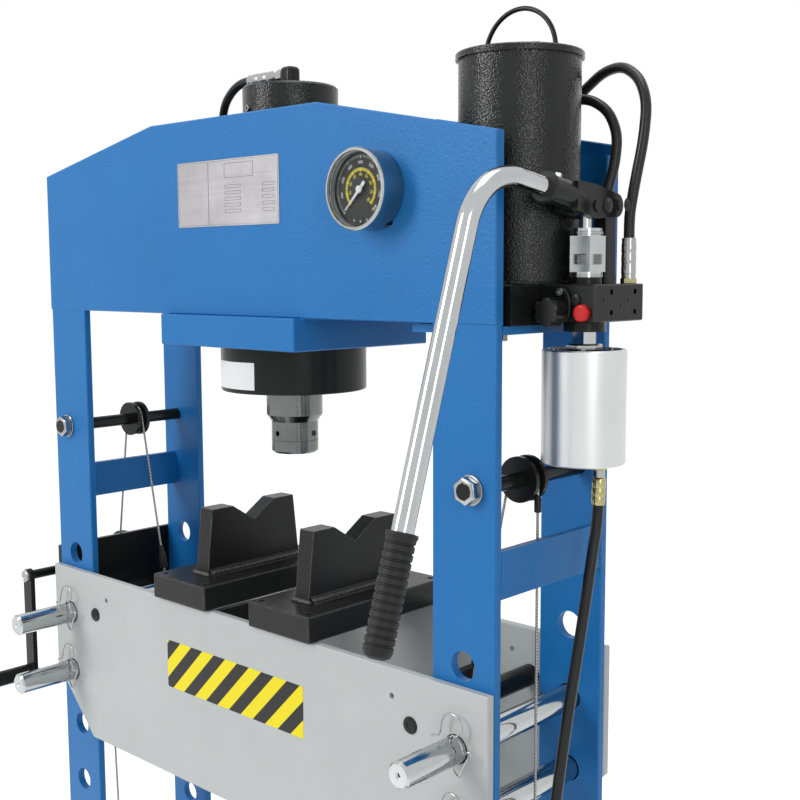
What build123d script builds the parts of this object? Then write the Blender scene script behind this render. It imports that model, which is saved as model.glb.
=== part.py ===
from build123d import *
import os
from math import asin, atan2, cos, hypot, pi, radians, sin, tan

os.makedirs("parts", exist_ok=True)

# Workshop hydraulic press, H-frame with an air and hand pump. Millimetres.
# X runs to the right, Y to the back and Z up. The origin is on the floor, midway
# between the four floor anchors, below the axis of the ram.

# Frame sizes
frame_w = 950
frame_d = 236
column_w = 98
column_t = 12
half_w = frame_w / 2
column_face_y = frame_d / 2
column_inner_y = column_face_y - column_t
head_t = 15
head_proud = 2
head_bottom_z = 1522
head_end_z = 1742
head_top_z = 1800
head_flat_w = 360
rear_column_top_z = 1728
edge_break = 1.5
rib_t = 10
rib_x = half_w - 255
rib_top_z = 1776
rib_window_d = 50
seat_w = 294
seat_t = 45

# Column holes
hole_d = 37
hole_pitch = 100
hole_top_z = 1110
hole_count = 9

# Feet, ties and braces
foot_l = 700
foot_t = 10
foot_inner_x = half_w - 110
foot_web_h = 90
foot_web_t = 10
anchor_span_x = frame_w - 100
anchor_span_y = foot_l - 80
anchor_hole_d = 18
tie_h = 90
tie_t = 10
brace_h = 58
brace_t = 10
brace_upper_z = 1227
brace_lower_z = 530
brace_right_outer_x = half_w - 1
brace_left_outer_x = half_w - 18

# Bed
bed_top_z = 1086
beam_t = 12
beam_gap = 1
beam_end_h = 178
beam_mid_h = 282
bar_x = half_w - 123
bar_z = 1020
bar_d = 30
bar_end_d = 17
spigot_clearance = 0.5
spacer_x = half_w - 225
spacer_h = 50
spacer_t = 12
spacer_z = 985
beam_peep_d = 8
beam_peep_x = half_w - 155
beam_peep_z = 1050

# Bed pins
pin_d = 34
pin_front_reach = 103
pin_rear_reach = 19
pin_chamfer = 3
pin_centre_d = 8
clip_hole_d = 6
clip_hole_from_beam = 10

# V blocks
vee_base_w = 125
vee_base_h = 37
vee_gap = 100
vee_overhang = 8
vee_plate_t = 28
vee_foot_l = 186
vee_top_l = 164
vee_plate_h = 101
vee_notch_depth = 27
vee_notch_half = 42
vee_weld = 9
vee_hole_d = 10
vee_hole_inset = 14

# Cylinder and ram
barrel_d = 140
bore_d = 110
barrel_top_z = 1850
barrel_cap_t = 25
collar_d = 216
collar_h = 67
collar_round = 3
rod_d = 84
rod_fit = 0.05
piston_h = 60
piston_gap = 15
piston_fit = 0.05
seal_h = 8
seal_depth = 5
rod_taper_top_z = 1372
rod_taper_h = 10
nose_d = 70
nose_top_z = 1334
nose_bottom_z = 1315
nose_spigot_d = 40
nose_spigot_h = 32
nose_screw_d = 8
nose_screw_z = 1345
spring_wire_d = 8
spring_mean_d = 97
spring_turns = 8
elbow_w = 22
elbow_h = 30
elbow_nut_af = 17
elbow_nut_l = 13

# Pressure gauge
gauge_x = 285
gauge_z = 1683
gauge_d = 100
gauge_depth = 36
gauge_wall = 4
gauge_back_t = 3
gauge_bezel_w = 6
dial_set_back = 13
dial_t = 1.5
needle_t = 1.2
needle_tip_r = 35
needle_tail_r = 12
needle_tail_w = 4.4
needle_tip_w = 1
needle_hub_d = 9
needle_pivot_d = 4
needle_fit = 0.05
needle_lift = 2
needle_zero_deg = 225
glass_t = 2
glass_set_back = 3
stem_d = 12
stem_hole_d = 20
stem_x = gauge_x + 21
stem_z = 1646

# Tank and its base
tank_x = half_w - 59
tank_d = 150
tank_h = 270
tank_wall = 3
lid_d = 157
lid_t = 8
lid_spigot_t = 4
loop_span = 106
loop_d = 6
shelf_t = 10
shelf_inner_x = half_w - 140
base_h = 48
base_l = 2 * column_inner_y - 16
base_wall = 8
base_inner_x = half_w - 135

# Pump block
pump_x = half_w + 40
block_inner_x = half_w + 5
block_outer_x = half_w + 80
block_front_y = -40
block_rear_y = 65
block_bottom_z = 1524
block_top_z = 1568
block_break = 1.5
boss_d = 38
boss_h = 8
lower_boss_d = 50
lower_boss_h = 12
block_hole_d = 7
block_hole_depth = 12
block_hole_y = (-5, 46)
block_hole_z = (1535, 1559)
gland_ring_d = 40
gland_ring_h = 6
gland_af = 42
gland_h = 42
gland_collar_d = 38
gland_collar_h = 9
plunger_d = 14
plunger_fit = 0.05
plunger_depth = 40

# Pump lever
pivot_y = 42
pivot_z = 1661
plunger_pin_z = 1659
lever_pin_d = 10
pin_fit = 0.05
lever_pin_head_d = 14
lever_pin_head_t = 2
tongue_t = 14
tongue_w = 34
tongue_h = 27
tongue_below_pin = 13
fork_gap = 15
fork_t = 8
fork_lobe_r = 14
fork_nose_y = -40
fork_nose_low_z = 1652
fork_nose_high_z = 1686
slot_rise = 0.8
slot_travel = 8
link_w = 22
link_top_r = 11
link_foot_w = 26
link_foot_h = 10
socket_d = 32
socket_start_y = -28
socket_l = 58
socket_tilt = 8.7
handle_d = 24
handle_inset = 46
handle_corner_y = -200
handle_bend_r = 80
handle_drop_l = 516
handle_drop_tilt = 18
grip_d = 32
grip_l = 128
grip_end_t = 4

# Release valve knob and relief cap
knob_x = half_w + 30
knob_z = 1536
knob_d = 34
knob_l = 25
knob_lobes = 6
knob_lobe_d = 9
knob_stem_d = 12
knob_stem_fit = 0.05
knob_stem_depth = 16
relief_x = half_w + 64
relief_z = 1535
relief_d = 20
relief_l = 7
relief_stem_d = 8
relief_stem_l = 6

# Air motor
motor_d = 101
motor_top_z = 1491
motor_bottom_z = 1354
motor_rim_w = 5
motor_recess = 3
motor_neck_af = 27
motor_port_d = 14
air_port_x = pump_x + 6
air_port_y = 27

# Bed lift
axle_x = half_w - 37
axle_d = 20
axle_z = 1327
axle_end_reach = 16
axle_fit = 0.25
pulley_d = 58
pulley_groove_d = 40
pulley_w = 24
pulley_flange_t = 6
rope_d = 3.5
rope_seat_clearance = 0.1
right_rope_y = -15
left_rope_y = 15
low_axle_z = 150
winch_x = -half_w - 50
winch_z = 1060
winch_drum_d = 44
winch_drum_l = 76
winch_flange_d = 78
winch_flange_t = 4
winch_cheek_t = 6
winch_cheek_y = 46
winch_plate_t = 8
winch_plate_h = 110
winch_shaft_d = 16
winch_shaft_fit = 0.3
crank_reach_y = -156
crank_arm_l = 170
crank_arm_w = 24
crank_arm_t = 8
crank_grip_d = 26
crank_grip_l = 90

# Foot pedal
pedal_x = half_w + 65
pedal_rear_y = -392
pedal_l = 170
pedal_w = 90
pedal_h = 42
pedal_port_z = 24
pedal_port_d = 16
pedal_port_l = 18
pedal_pin_d = 8
pedal_pin_z = 46
pedal_pin_inset = 26
treadle_t = 5
treadle_tilt = 11
treadle_ear_t = 4

# Hoses
hose_d = 13
air_hose_d = 14
ferrule_d = 17
ferrule_end_d = 14
ferrule_nut_h = 6

# Places that follow from the sizes above
column_x = half_w - column_w / 2
head_front_y = -column_face_y - head_proud
head_rear_y = column_face_y + head_t
beam_inner_y = column_face_y + beam_gap
beam_outer_y = beam_inner_y + beam_t
seat_bottom_z = head_bottom_z - seat_t
collar_bottom_z = seat_bottom_z - collar_h
base_bottom_z = head_bottom_z - 2
tank_bottom_z = base_bottom_z + base_h
tank_top_z = tank_bottom_z + tank_h
gland_bottom_z = block_top_z + boss_h
gland_hex_z = gland_bottom_z + gland_ring_h
gland_top_z = gland_hex_z + gland_h + gland_collar_h
gauge_face_y = head_front_y - 1 - gauge_depth
dial_y = gauge_face_y + dial_set_back
rope_r = pulley_groove_d / 2 + rope_d / 2 + rope_seat_clearance


def upright(rear_y):
    """Plane facing the front, whose extrusion comes forward from rear_y."""
    return Plane.XZ.offset(-rear_y)


def round_tube(route, outer_d, bends):
    """Round tube along straight runs joined by tangent arcs."""
    with BuildPart() as tube:
        with BuildLine() as centre_line:
            FilletPolyline(*route, radius=bends)
        with BuildSketch(Plane(origin=centre_line.line @ 0, z_dir=centre_line.line % 0)):
            Circle(outer_d / 2)
        sweep()
    return tube


def full_bends(route, name):
    """Largest tangent arc at each corner of a route, printed for the record."""
    points = [Vector(*point) for point in route]
    bends = []
    for before, corner, after in zip(points, points[1:], points[2:]):
        arriving, leaving = corner - before, after - corner
        half_turn = radians(arriving.get_angle(leaving)) / 2
        bends.append(0.45 * min(arriving.length, leaving.length) / tan(half_turn))
    print(name, "bend radii", [round(bend) for bend in bends])
    return bends


def save(piece, label):
    """Label a finished piece and write its file."""
    piece.part.label = label
    export_step(piece.part, f"parts/{label}.step")


# Four columns of flat bar with a row of bed holes and the lift axle holes
hole_rows = [hole_top_z - hole_pitch * step for step in range(hole_count)]
for side, sign in (("left", -1), ("right", 1)):
    for row in ("front", "rear"):
        rear_y = -column_inner_y if row == "front" else column_face_y
        top_z = head_bottom_z if row == "front" else rear_column_top_z
        with BuildPart() as column:
            with BuildSketch(upright(rear_y)):
                with Locations((sign * column_x, (foot_t + top_z) / 2)):
                    Rectangle(column_w, top_z - foot_t)
                with Locations(*[(sign * column_x, level) for level in hole_rows]):
                    Circle(hole_d / 2, mode=Mode.SUBTRACT)
                with Locations(*[(sign * axle_x, level) for level in (axle_z, low_axle_z)]):
                    Circle(axle_d / 2 + axle_fit, mode=Mode.SUBTRACT)
            extrude(amount=column_t)
            long_edges = column.edges().filter_by(Axis.Z)
            chamfer(long_edges, edge_break)
        save(column, f"column_{row}_{side}")

# Two head plates with sloping shoulders
head_outline = [
    (-half_w, head_bottom_z),
    (half_w, head_bottom_z),
    (half_w, head_end_z),
    (head_flat_w / 2, head_top_z),
    (-head_flat_w / 2, head_top_z),
    (-half_w, head_end_z),
]
with BuildPart() as head_front:
    with BuildSketch(upright(head_front_y + head_t)):
        with BuildLine():
            Polyline(*head_outline, close=True)
        make_face()
        with Locations((stem_x, stem_z)):
            Circle(stem_hole_d / 2, mode=Mode.SUBTRACT)
    extrude(amount=head_t)
    outline_edges = head_front.edges().filter_by(GeomType.LINE).filter_by(Axis.Y, reverse=True)
    chamfer(outline_edges, edge_break)
save(head_front, "head_front_plate")

with BuildPart() as head_rear:
    with BuildSketch(upright(head_rear_y)):
        with BuildLine():
            Polyline(*head_outline, close=True)
        make_face()
    extrude(amount=head_t)
    outline_edges = head_rear.edges().filter_by(Axis.Y, reverse=True)
    chamfer(outline_edges, edge_break)
save(head_rear, "head_rear_plate")

# Two ribs between the head plates, each with a window for the hose
rib_front_y = head_front_y + head_t
rib_window_y = column_face_y - rib_window_d / 2 - 12
with BuildPart() as ribs:
    with BuildSketch(Plane.YZ.offset(-rib_x - rib_t / 2)):
        with Locations(((rib_front_y + column_face_y) / 2, (head_bottom_z + rib_top_z) / 2)):
            Rectangle(column_face_y - rib_front_y, rib_top_z - head_bottom_z)
        with Locations((rib_window_y, (head_bottom_z + rib_top_z) / 2 + 20)):
            Circle(rib_window_d / 2, mode=Mode.SUBTRACT)
    extrude(amount=rib_t)
    mirror(about=Plane.YZ)
save(ribs, "head_ribs")

# Thick plate under the head that the cylinder hangs from
with BuildPart() as seat:
    with BuildSketch(Plane.XY.offset(seat_bottom_z)):
        Rectangle(seat_w, 2 * head_rear_y)
        Circle(barrel_d / 2, mode=Mode.SUBTRACT)
    extrude(amount=seat_t)
    chamfer(seat.edges().filter_by(GeomType.LINE), edge_break)
save(seat, "ram_seat")

# Shelf between the right columns, under the tank
shelf_top_z = base_bottom_z
with BuildPart() as shelf:
    with BuildSketch(Plane.XY.offset(shelf_top_z - shelf_t)):
        with Locations(((shelf_inner_x + half_w) / 2, 0)):
            Rectangle(half_w - shelf_inner_x, 2 * column_inner_y)
    extrude(amount=shelf_t)
save(shelf, "pump_shelf")

# Flat braces that tie each front column to the rear one
with BuildPart() as braces:
    for outer_x, into_frame in ((brace_right_outer_x, -1), (-brace_left_outer_x, 1)):
        for brace_z in (brace_lower_z, brace_upper_z):
            with BuildSketch(Plane.YZ.offset(outer_x)):
                with Locations((0, brace_z)):
                    Rectangle(2 * column_inner_y, brace_h)
            extrude(amount=into_frame * brace_t)
save(braces, "side_braces")

# Welded floor frame of two angle feet and two ties
foot_outer_x = half_w + foot_web_t
with BuildPart() as floor_frame:
    with BuildSketch(Plane.XZ.offset(-foot_l / 2)):
        with Locations((0, foot_t / 2)):
            with GridLocations(foot_outer_x + foot_inner_x, 0, 2, 1):
                Rectangle(foot_outer_x - foot_inner_x, foot_t)
        with Locations((0, foot_web_h / 2)):
            with GridLocations(2 * half_w + foot_web_t, 0, 2, 1):
                Rectangle(foot_web_t, foot_web_h)
    extrude(amount=foot_l)
    with Locations((0, 0, foot_t)):
        with GridLocations(0, frame_d + tie_t, 1, 2):
            Box(
                frame_w,
                tie_t,
                tie_h,
                align=(Align.CENTER, Align.CENTER, Align.MIN),
            )
    with Locations((0, 0, foot_t)):
        with GridLocations(anchor_span_x, anchor_span_y, 2, 2):
            Hole(anchor_hole_d / 2, depth=foot_t)
save(floor_frame, "floor_frame")

# Bed beams, deeper between the columns than at their ends
beam_cut = beam_mid_h - beam_end_h
beam_outline = [
    (-half_w, bed_top_z),
    (-half_w, bed_top_z - beam_end_h),
    (-half_w + beam_cut, bed_top_z - beam_mid_h),
    (half_w - beam_cut, bed_top_z - beam_mid_h),
    (half_w, bed_top_z - beam_end_h),
    (half_w, bed_top_z),
]
pin_rows = hole_rows[1:3]
for row, rear_y in (("front", -beam_inner_y), ("rear", beam_outer_y)):
    with BuildPart() as beam:
        with BuildSketch(upright(rear_y)):
            with BuildLine():
                Polyline(*beam_outline, close=True)
            make_face()
            pin_places = [(sign * column_x, level) for sign in (-1, 1) for level in pin_rows]
            with Locations(*pin_places):
                Circle(hole_d / 2, mode=Mode.SUBTRACT)
            with Locations((-bar_x, bar_z), (bar_x, bar_z)):
                Circle(bar_end_d / 2 + spigot_clearance, mode=Mode.SUBTRACT)
            with Locations((-beam_peep_x, beam_peep_z), (beam_peep_x, beam_peep_z)):
                Circle(beam_peep_d / 2, mode=Mode.SUBTRACT)
        extrude(amount=beam_t)
        outline_edges = beam.edges().filter_by(GeomType.LINE).filter_by(Axis.Y, reverse=True)
        chamfer(outline_edges, edge_break)
    save(beam, f"bed_{row}_beam")

# Stepped round bars that hold the beams apart and carry the lifting ropes,
# with a flat spacer beside each
with BuildPart() as cross_bars:
    for sign in (-1, 1):
        with BuildSketch(Plane.XZ.offset(-beam_inner_y)):
            with Locations((sign * bar_x, bar_z)):
                Circle(bar_d / 2)
            with Locations((sign * spacer_x, spacer_z)):
                Rectangle(spacer_t, spacer_h)
        extrude(amount=2 * beam_inner_y)
        with BuildSketch(Plane.XZ.offset(-beam_outer_y)):
            with Locations((sign * bar_x, bar_z)):
                Circle(bar_end_d / 2)
        extrude(amount=2 * beam_outer_y)
save(cross_bars, "bed_cross_bars")

# Four bed pins with a centre drilling and a cross hole for the wire clip
pin_rear_y = beam_outer_y + pin_rear_reach
pin_l = pin_rear_y + beam_outer_y + pin_front_reach
for side, sign in (("left", -1), ("right", 1)):
    for level_name, level in zip(("upper", "lower"), pin_rows):
        with BuildPart() as pin:
            with BuildSketch(Plane.XZ.offset(-pin_rear_y)):
                with Locations((sign * column_x, level)):
                    Circle(pin_d / 2)
            extrude(amount=pin_l)
            chamfer(pin.edges().filter_by(GeomType.CIRCLE), pin_chamfer)
            front_end = pin.faces().sort_by(Axis.Y)[0]
            with Locations(front_end):
                CounterSinkHole(pin_centre_d / 4, pin_centre_d / 2, depth=pin_centre_d)
            clip_y = -beam_outer_y - clip_hole_from_beam
            with Locations((sign * column_x, clip_y, level)):
                Cylinder(clip_hole_d / 2, 2 * pin_d, mode=Mode.SUBTRACT)
        save(pin, f"bed_pin_{level_name}_{side}")

# Pair of V blocks, each a plate with a notch welded on a base bar
vee_base_l = 2 * (beam_outer_y + vee_overhang)
vee_base_top_z = bed_top_z + vee_base_h
vee_centre_x = vee_gap / 2 + vee_base_w / 2
vee_outline = [
    (-vee_foot_l / 2, vee_base_top_z),
    (vee_foot_l / 2, vee_base_top_z),
    (vee_top_l / 2, vee_base_top_z + vee_plate_h),
    (vee_notch_half, vee_base_top_z + vee_plate_h),
    (0, vee_base_top_z + vee_plate_h - vee_notch_depth),
    (-vee_notch_half, vee_base_top_z + vee_plate_h),
    (-vee_top_l / 2, vee_base_top_z + vee_plate_h),
]
for side, sign in (("left", -1), ("right", 1)):
    middle_x = sign * vee_centre_x
    with BuildPart() as vee:
        with Locations((middle_x, 0, bed_top_z)):
            Box(
                vee_base_w,
                vee_base_l,
                vee_base_h,
                align=(Align.CENTER, Align.CENTER, Align.MIN),
            )
        chamfer(vee.edges(), edge_break)
        with Locations((middle_x, 0, vee_base_top_z)):
            with GridLocations(vee_base_w - 2 * vee_hole_inset, vee_base_l - 2 * vee_hole_inset, 2, 2):
                Hole(vee_hole_d / 2, depth=vee_base_h / 2)
        with BuildSketch(Plane.YZ.offset(middle_x - vee_plate_t / 2)):
            with BuildLine():
                Polyline(*vee_outline, close=True)
            make_face()
        extrude(amount=vee_plate_t)
        for face_sign in (-1, 1):
            weld_x = middle_x + face_sign * vee_plate_t / 2
            with BuildSketch(Plane.XZ.offset(-vee_foot_l / 2 + 4)):
                with BuildLine():
                    Polyline(
                        (weld_x, vee_base_top_z),
                        (weld_x + face_sign * vee_weld, vee_base_top_z),
                        (weld_x, vee_base_top_z + vee_weld),
                        close=True,
                    )
                make_face()
            extrude(amount=vee_foot_l - 8)
    save(vee, f"vee_block_{side}")

# Cylinder barrel, closed at the top and open at the bottom for the gland
barrel_h = barrel_top_z - collar_bottom_z
with BuildPart() as barrel:
    with BuildSketch(Plane.XY.offset(collar_bottom_z)):
        Circle(barrel_d / 2 - spigot_clearance)
    extrude(amount=barrel_h)
    chamfer(barrel.edges().group_by(Axis.Z)[-1], 2 * edge_break)
    with BuildSketch(Plane.XY.offset(collar_bottom_z)):
        Circle(bore_d / 2)
    extrude(amount=barrel_h - barrel_cap_t, mode=Mode.SUBTRACT)
    with Locations((0, 0, barrel_top_z)):
        Hole(elbow_nut_af / 4, depth=barrel_cap_t)
save(barrel, "cylinder_barrel")

# Lock ring that holds the barrel up against the seat
with BuildPart() as collar:
    with BuildSketch(Plane.XY.offset(collar_bottom_z)):
        Circle(collar_d / 2)
        Circle(barrel_d / 2, mode=Mode.SUBTRACT)
    extrude(amount=collar_h)
    rim = collar.edges().group_by(Axis.Z)[0].sort_by(SortBy.LENGTH)[-1]
    fillet(rim, collar_round)
save(collar, "collar_ring")

# Gland that guides the rod at the mouth of the barrel
gland_h_rod = 40
with BuildPart() as rod_gland:
    with BuildSketch(Plane.XY.offset(collar_bottom_z)):
        Circle(bore_d / 2)
        Circle(rod_d / 2 + rod_fit, mode=Mode.SUBTRACT)
    extrude(amount=gland_h_rod)
save(rod_gland, "rod_gland")

# Ram rod with its piston, turned in one piece
piston_top_z = barrel_top_z - barrel_cap_t - piston_gap
piston_bottom_z = piston_top_z - piston_h
piston_r = bore_d / 2 - piston_fit
rod_taper_bottom_z = rod_taper_top_z - rod_taper_h
seal_z = piston_bottom_z + (piston_h - seal_h) / 2
with BuildPart() as ram:
    with BuildSketch(Plane.XZ):
        with BuildLine():
            Polyline(
                (0, nose_top_z),
                (nose_d / 2, nose_top_z),
                (nose_d / 2, rod_taper_bottom_z),
                (rod_d / 2, rod_taper_top_z),
                (rod_d / 2, piston_bottom_z),
                (piston_r, piston_bottom_z),
                (piston_r, seal_z),
                (piston_r - seal_depth, seal_z),
                (piston_r - seal_depth, seal_z + seal_h),
                (piston_r, seal_z + seal_h),
                (piston_r, piston_top_z),
                (0, piston_top_z),
                close=True,
            )
        make_face()
    revolve(axis=Axis.Z)
    with BuildSketch(Plane.XY.offset(nose_top_z)):
        Circle(nose_spigot_d / 2)
    extrude(amount=nose_spigot_h, mode=Mode.SUBTRACT)
    with BuildSketch(Plane.XZ.offset(0)):
        with Locations((0, nose_screw_z)):
            Circle(nose_screw_d / 2)
    extrude(amount=nose_d, mode=Mode.SUBTRACT)
save(ram, "ram_rod")

with BuildPart() as seal:
    with BuildSketch(Plane.XY.offset(seal_z)):
        Circle(piston_r)
        Circle(piston_r - seal_depth, mode=Mode.SUBTRACT)
    extrude(amount=seal_h)
save(seal, "piston_seal")

# Hardened nose, held in the rod by a spigot
with BuildPart() as nose:
    with BuildSketch(Plane.XY.offset(nose_bottom_z)):
        Circle(nose_d / 2)
    extrude(amount=nose_top_z - nose_bottom_z)
    chamfer(nose.edges().group_by(Axis.Z)[0], 2 * edge_break)
    with BuildSketch(Plane.XY.offset(nose_top_z)):
        Circle(nose_spigot_d / 2)
    extrude(amount=nose_spigot_h)
save(nose, "ram_nose")

# Return spring between the gland and the piston
spring_bottom_z = collar_bottom_z + gland_h_rod
spring_l = piston_bottom_z - spring_bottom_z - spring_wire_d
with BuildPart() as spring:
    with BuildLine() as coil:
        coil_start = (0, 0, spring_bottom_z + spring_wire_d / 2)
        Helix(spring_l / spring_turns, spring_l, spring_mean_d / 2, center=coil_start)
    with BuildSketch(Plane(origin=coil.line @ 0, z_dir=coil.line % 0)):
        RegularPolygon(spring_wire_d / 2, 6)
    sweep(is_frenet=True)
save(spring, "return_spring")

# Oil elbow on top of the barrel, with its hose nut to the left
elbow_mid_z = barrel_top_z + elbow_h - elbow_w / 2
with BuildPart() as elbow:
    with Locations((0, 0, barrel_top_z)):
        Box(
            elbow_w,
            elbow_w,
            elbow_h,
            align=(Align.CENTER, Align.CENTER, Align.MIN),
        )
    chamfer(elbow.edges(), edge_break)
    with BuildSketch(Plane.YZ.offset(-elbow_w / 2)):
        with Locations((0, elbow_mid_z)):
            RegularPolygon(elbow_nut_af / 2, 6, major_radius=False)
    extrude(amount=-elbow_nut_l)
save(elbow, "top_elbow")

# Gauge case with its bezel and stem, a cup open to the front
gauge_r = gauge_d / 2
gauge_rear_y = gauge_face_y + gauge_depth
with BuildPart() as gauge:
    with BuildSketch(upright(gauge_rear_y)):
        with Locations((gauge_x, gauge_z)):
            Circle(gauge_r - 1)
    extrude(amount=gauge_depth - gauge_bezel_w)
    with BuildSketch(upright(gauge_face_y + gauge_bezel_w)):
        with Locations((gauge_x, gauge_z)):
            Circle(gauge_r)
    extrude(amount=gauge_bezel_w)
    chamfer(gauge.faces().sort_by(Axis.Y)[0].edges(), edge_break)
    with BuildSketch(upright(dial_y + dial_t)):
        with Locations((gauge_x, gauge_z)):
            Circle(gauge_r - gauge_wall)
    extrude(amount=dial_set_back + dial_t, mode=Mode.SUBTRACT)
    with BuildSketch(upright(head_front_y + head_t + 14)):
        with Locations((stem_x, stem_z)):
            Circle(stem_d / 2)
    extrude(amount=head_t + 14 + gauge_back_t + 2)
save(gauge, "gauge_case")

gauge_inner_r = gauge_r - gauge_wall
with BuildPart() as dial:
    with BuildSketch(upright(dial_y + dial_t)):
        with Locations((gauge_x, gauge_z)):
            Circle(gauge_inner_r)
            Circle(needle_pivot_d / 2 + needle_fit, mode=Mode.SUBTRACT)
    extrude(amount=dial_t)
save(dial, "gauge_dial")

# Needle with a thin tail and a hub, whose pivot turns in the dial
needle_y = dial_y - needle_lift
needle_turn = radians(needle_zero_deg)
needle_plane = Plane(
    origin=(gauge_x, needle_y, gauge_z),
    x_dir=(cos(needle_turn), 0, sin(needle_turn)),
    z_dir=(0, -1, 0),
)
with BuildPart() as needle:
    with BuildSketch(needle_plane):
        with BuildLine():
            Polyline(
                (-needle_tail_r, -needle_tail_w / 2),
                (needle_tip_r, -needle_tip_w / 2),
                (needle_tip_r, needle_tip_w / 2),
                (-needle_tail_r, needle_tail_w / 2),
                close=True,
            )
        make_face()
        Circle(needle_hub_d / 2)
    extrude(amount=needle_t)
    with BuildSketch(upright(dial_y + dial_t)):
        with Locations((gauge_x, gauge_z)):
            Circle(needle_pivot_d / 2)
    extrude(amount=dial_t + needle_lift)
save(needle, "gauge_needle")

with BuildPart() as glass:
    with BuildSketch(upright(gauge_face_y + glass_set_back + glass_t)):
        with Locations((gauge_x, gauge_z)):
            Circle(gauge_inner_r)
    extrude(amount=glass_t)
save(glass, "gauge_glass")

# Oil tank, a can with a lid
with BuildPart() as tank:
    with BuildSketch(Plane.XY.offset(tank_bottom_z)):
        with Locations((tank_x, 0)):
            Circle(tank_d / 2)
    extrude(amount=tank_h)
    with BuildSketch(Plane.XY.offset(tank_bottom_z + tank_wall)):
        with Locations((tank_x, 0)):
            Circle(tank_d / 2 - tank_wall)
    extrude(amount=tank_h - tank_wall, mode=Mode.SUBTRACT)
save(tank, "tank_shell")

with BuildPart() as lid:
    with BuildSketch(Plane.XY.offset(tank_top_z)):
        with Locations((tank_x, 0)):
            Circle(lid_d / 2)
    extrude(amount=lid_t)
    chamfer(lid.edges().group_by(Axis.Z)[-1], edge_break)
    with BuildSketch(Plane.XY.offset(tank_top_z)):
        with Locations((tank_x, 0)):
            Circle(tank_d / 2 - tank_wall - spigot_clearance)
    extrude(amount=-lid_spigot_t)
save(lid, "tank_lid")

# Wire loop that stands on the lid
lid_top_z = tank_top_z + lid_t
with BuildPart() as loop:
    with BuildLine() as loop_line:
        ThreePointArc(
            (tank_x - loop_span / 2, 0, lid_top_z),
            (tank_x, 0, lid_top_z + loop_span / 2),
            (tank_x + loop_span / 2, 0, lid_top_z),
        )
    with BuildSketch(Plane(origin=loop_line.line @ 0, z_dir=loop_line.line % 0)):
        Circle(loop_d / 2)
    sweep()
save(loop, "tank_loop")

# Channel under the tank, with its open side down
base_w = block_inner_x - base_inner_x
with BuildPart() as base:
    with BuildSketch(Plane.XZ.offset(-base_l / 2)):
        with Locations(((base_inner_x + block_inner_x) / 2, base_bottom_z)):
            Rectangle(base_w, base_h, align=(Align.CENTER, Align.MIN))
            Rectangle(
                base_w - 2 * base_wall,
                base_h - base_wall,
                align=(Align.CENTER, Align.MIN),
                mode=Mode.SUBTRACT,
            )
    extrude(amount=base_l)
    chamfer(base.edges().group_by(Axis.Z)[-1], edge_break)
save(base, "pump_base")

# Pump block with bosses above and below, bored for the plunger
block_mid_x = (block_inner_x + block_outer_x) / 2
block_mid_y = (block_front_y + block_rear_y) / 2
with BuildPart() as block:
    with BuildSketch(Plane.XY.offset(block_bottom_z)):
        with Locations((block_mid_x, block_mid_y)):
            Rectangle(block_outer_x - block_inner_x, block_rear_y - block_front_y)
    extrude(amount=block_top_z - block_bottom_z)
    chamfer(block.edges(), block_break)
    with BuildSketch(Plane.XY.offset(block_top_z)):
        with Locations((pump_x, 0)):
            Circle(boss_d / 2)
    extrude(amount=boss_h)
    with BuildSketch(Plane.XY.offset(block_bottom_z)):
        with Locations((pump_x, 0)):
            Circle(lower_boss_d / 2)
    extrude(amount=-lower_boss_h)
    with Locations((pump_x, 0, gland_bottom_z)):
        Hole(plunger_d / 2 + plunger_fit, depth=plunger_depth + boss_h)
    with BuildSketch(Plane.YZ.offset(block_outer_x)):
        with Locations(*[(hole_y, hole_z) for hole_y in block_hole_y for hole_z in block_hole_z]):
            Circle(block_hole_d / 2)
    extrude(amount=-block_hole_depth, mode=Mode.SUBTRACT)
    with BuildSketch(Plane.XZ.offset(-block_front_y)):
        with Locations((knob_x, knob_z)):
            Circle(knob_stem_d / 2 + knob_stem_fit)
    extrude(amount=-knob_stem_depth - 1, mode=Mode.SUBTRACT)
    with BuildSketch(Plane.XZ.offset(-block_front_y)):
        with Locations((relief_x, relief_z)):
            Circle(relief_stem_d / 2)
    extrude(amount=-relief_stem_l, mode=Mode.SUBTRACT)
save(block, "pump_block")

# Hexagon gland that guides the plunger
with BuildPart() as gland:
    with BuildSketch(Plane.XY.offset(gland_bottom_z)):
        with Locations((pump_x, 0)):
            Circle(gland_ring_d / 2)
    extrude(amount=gland_ring_h)
    with BuildSketch(Plane.XY.offset(gland_hex_z)):
        with Locations((pump_x, 0)):
            RegularPolygon(gland_af / 2, 6, major_radius=False, rotation=15)
    extrude(amount=gland_h)
    with BuildSketch(Plane.XY.offset(gland_hex_z + gland_h)):
        with Locations((pump_x, 0)):
            Circle(gland_collar_d / 2)
    extrude(amount=gland_collar_h)
    with Locations((pump_x, 0, gland_top_z)):
        Hole(plunger_d / 2 + plunger_fit, depth=gland_top_z - gland_bottom_z)
save(gland, "pump_gland")

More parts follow.
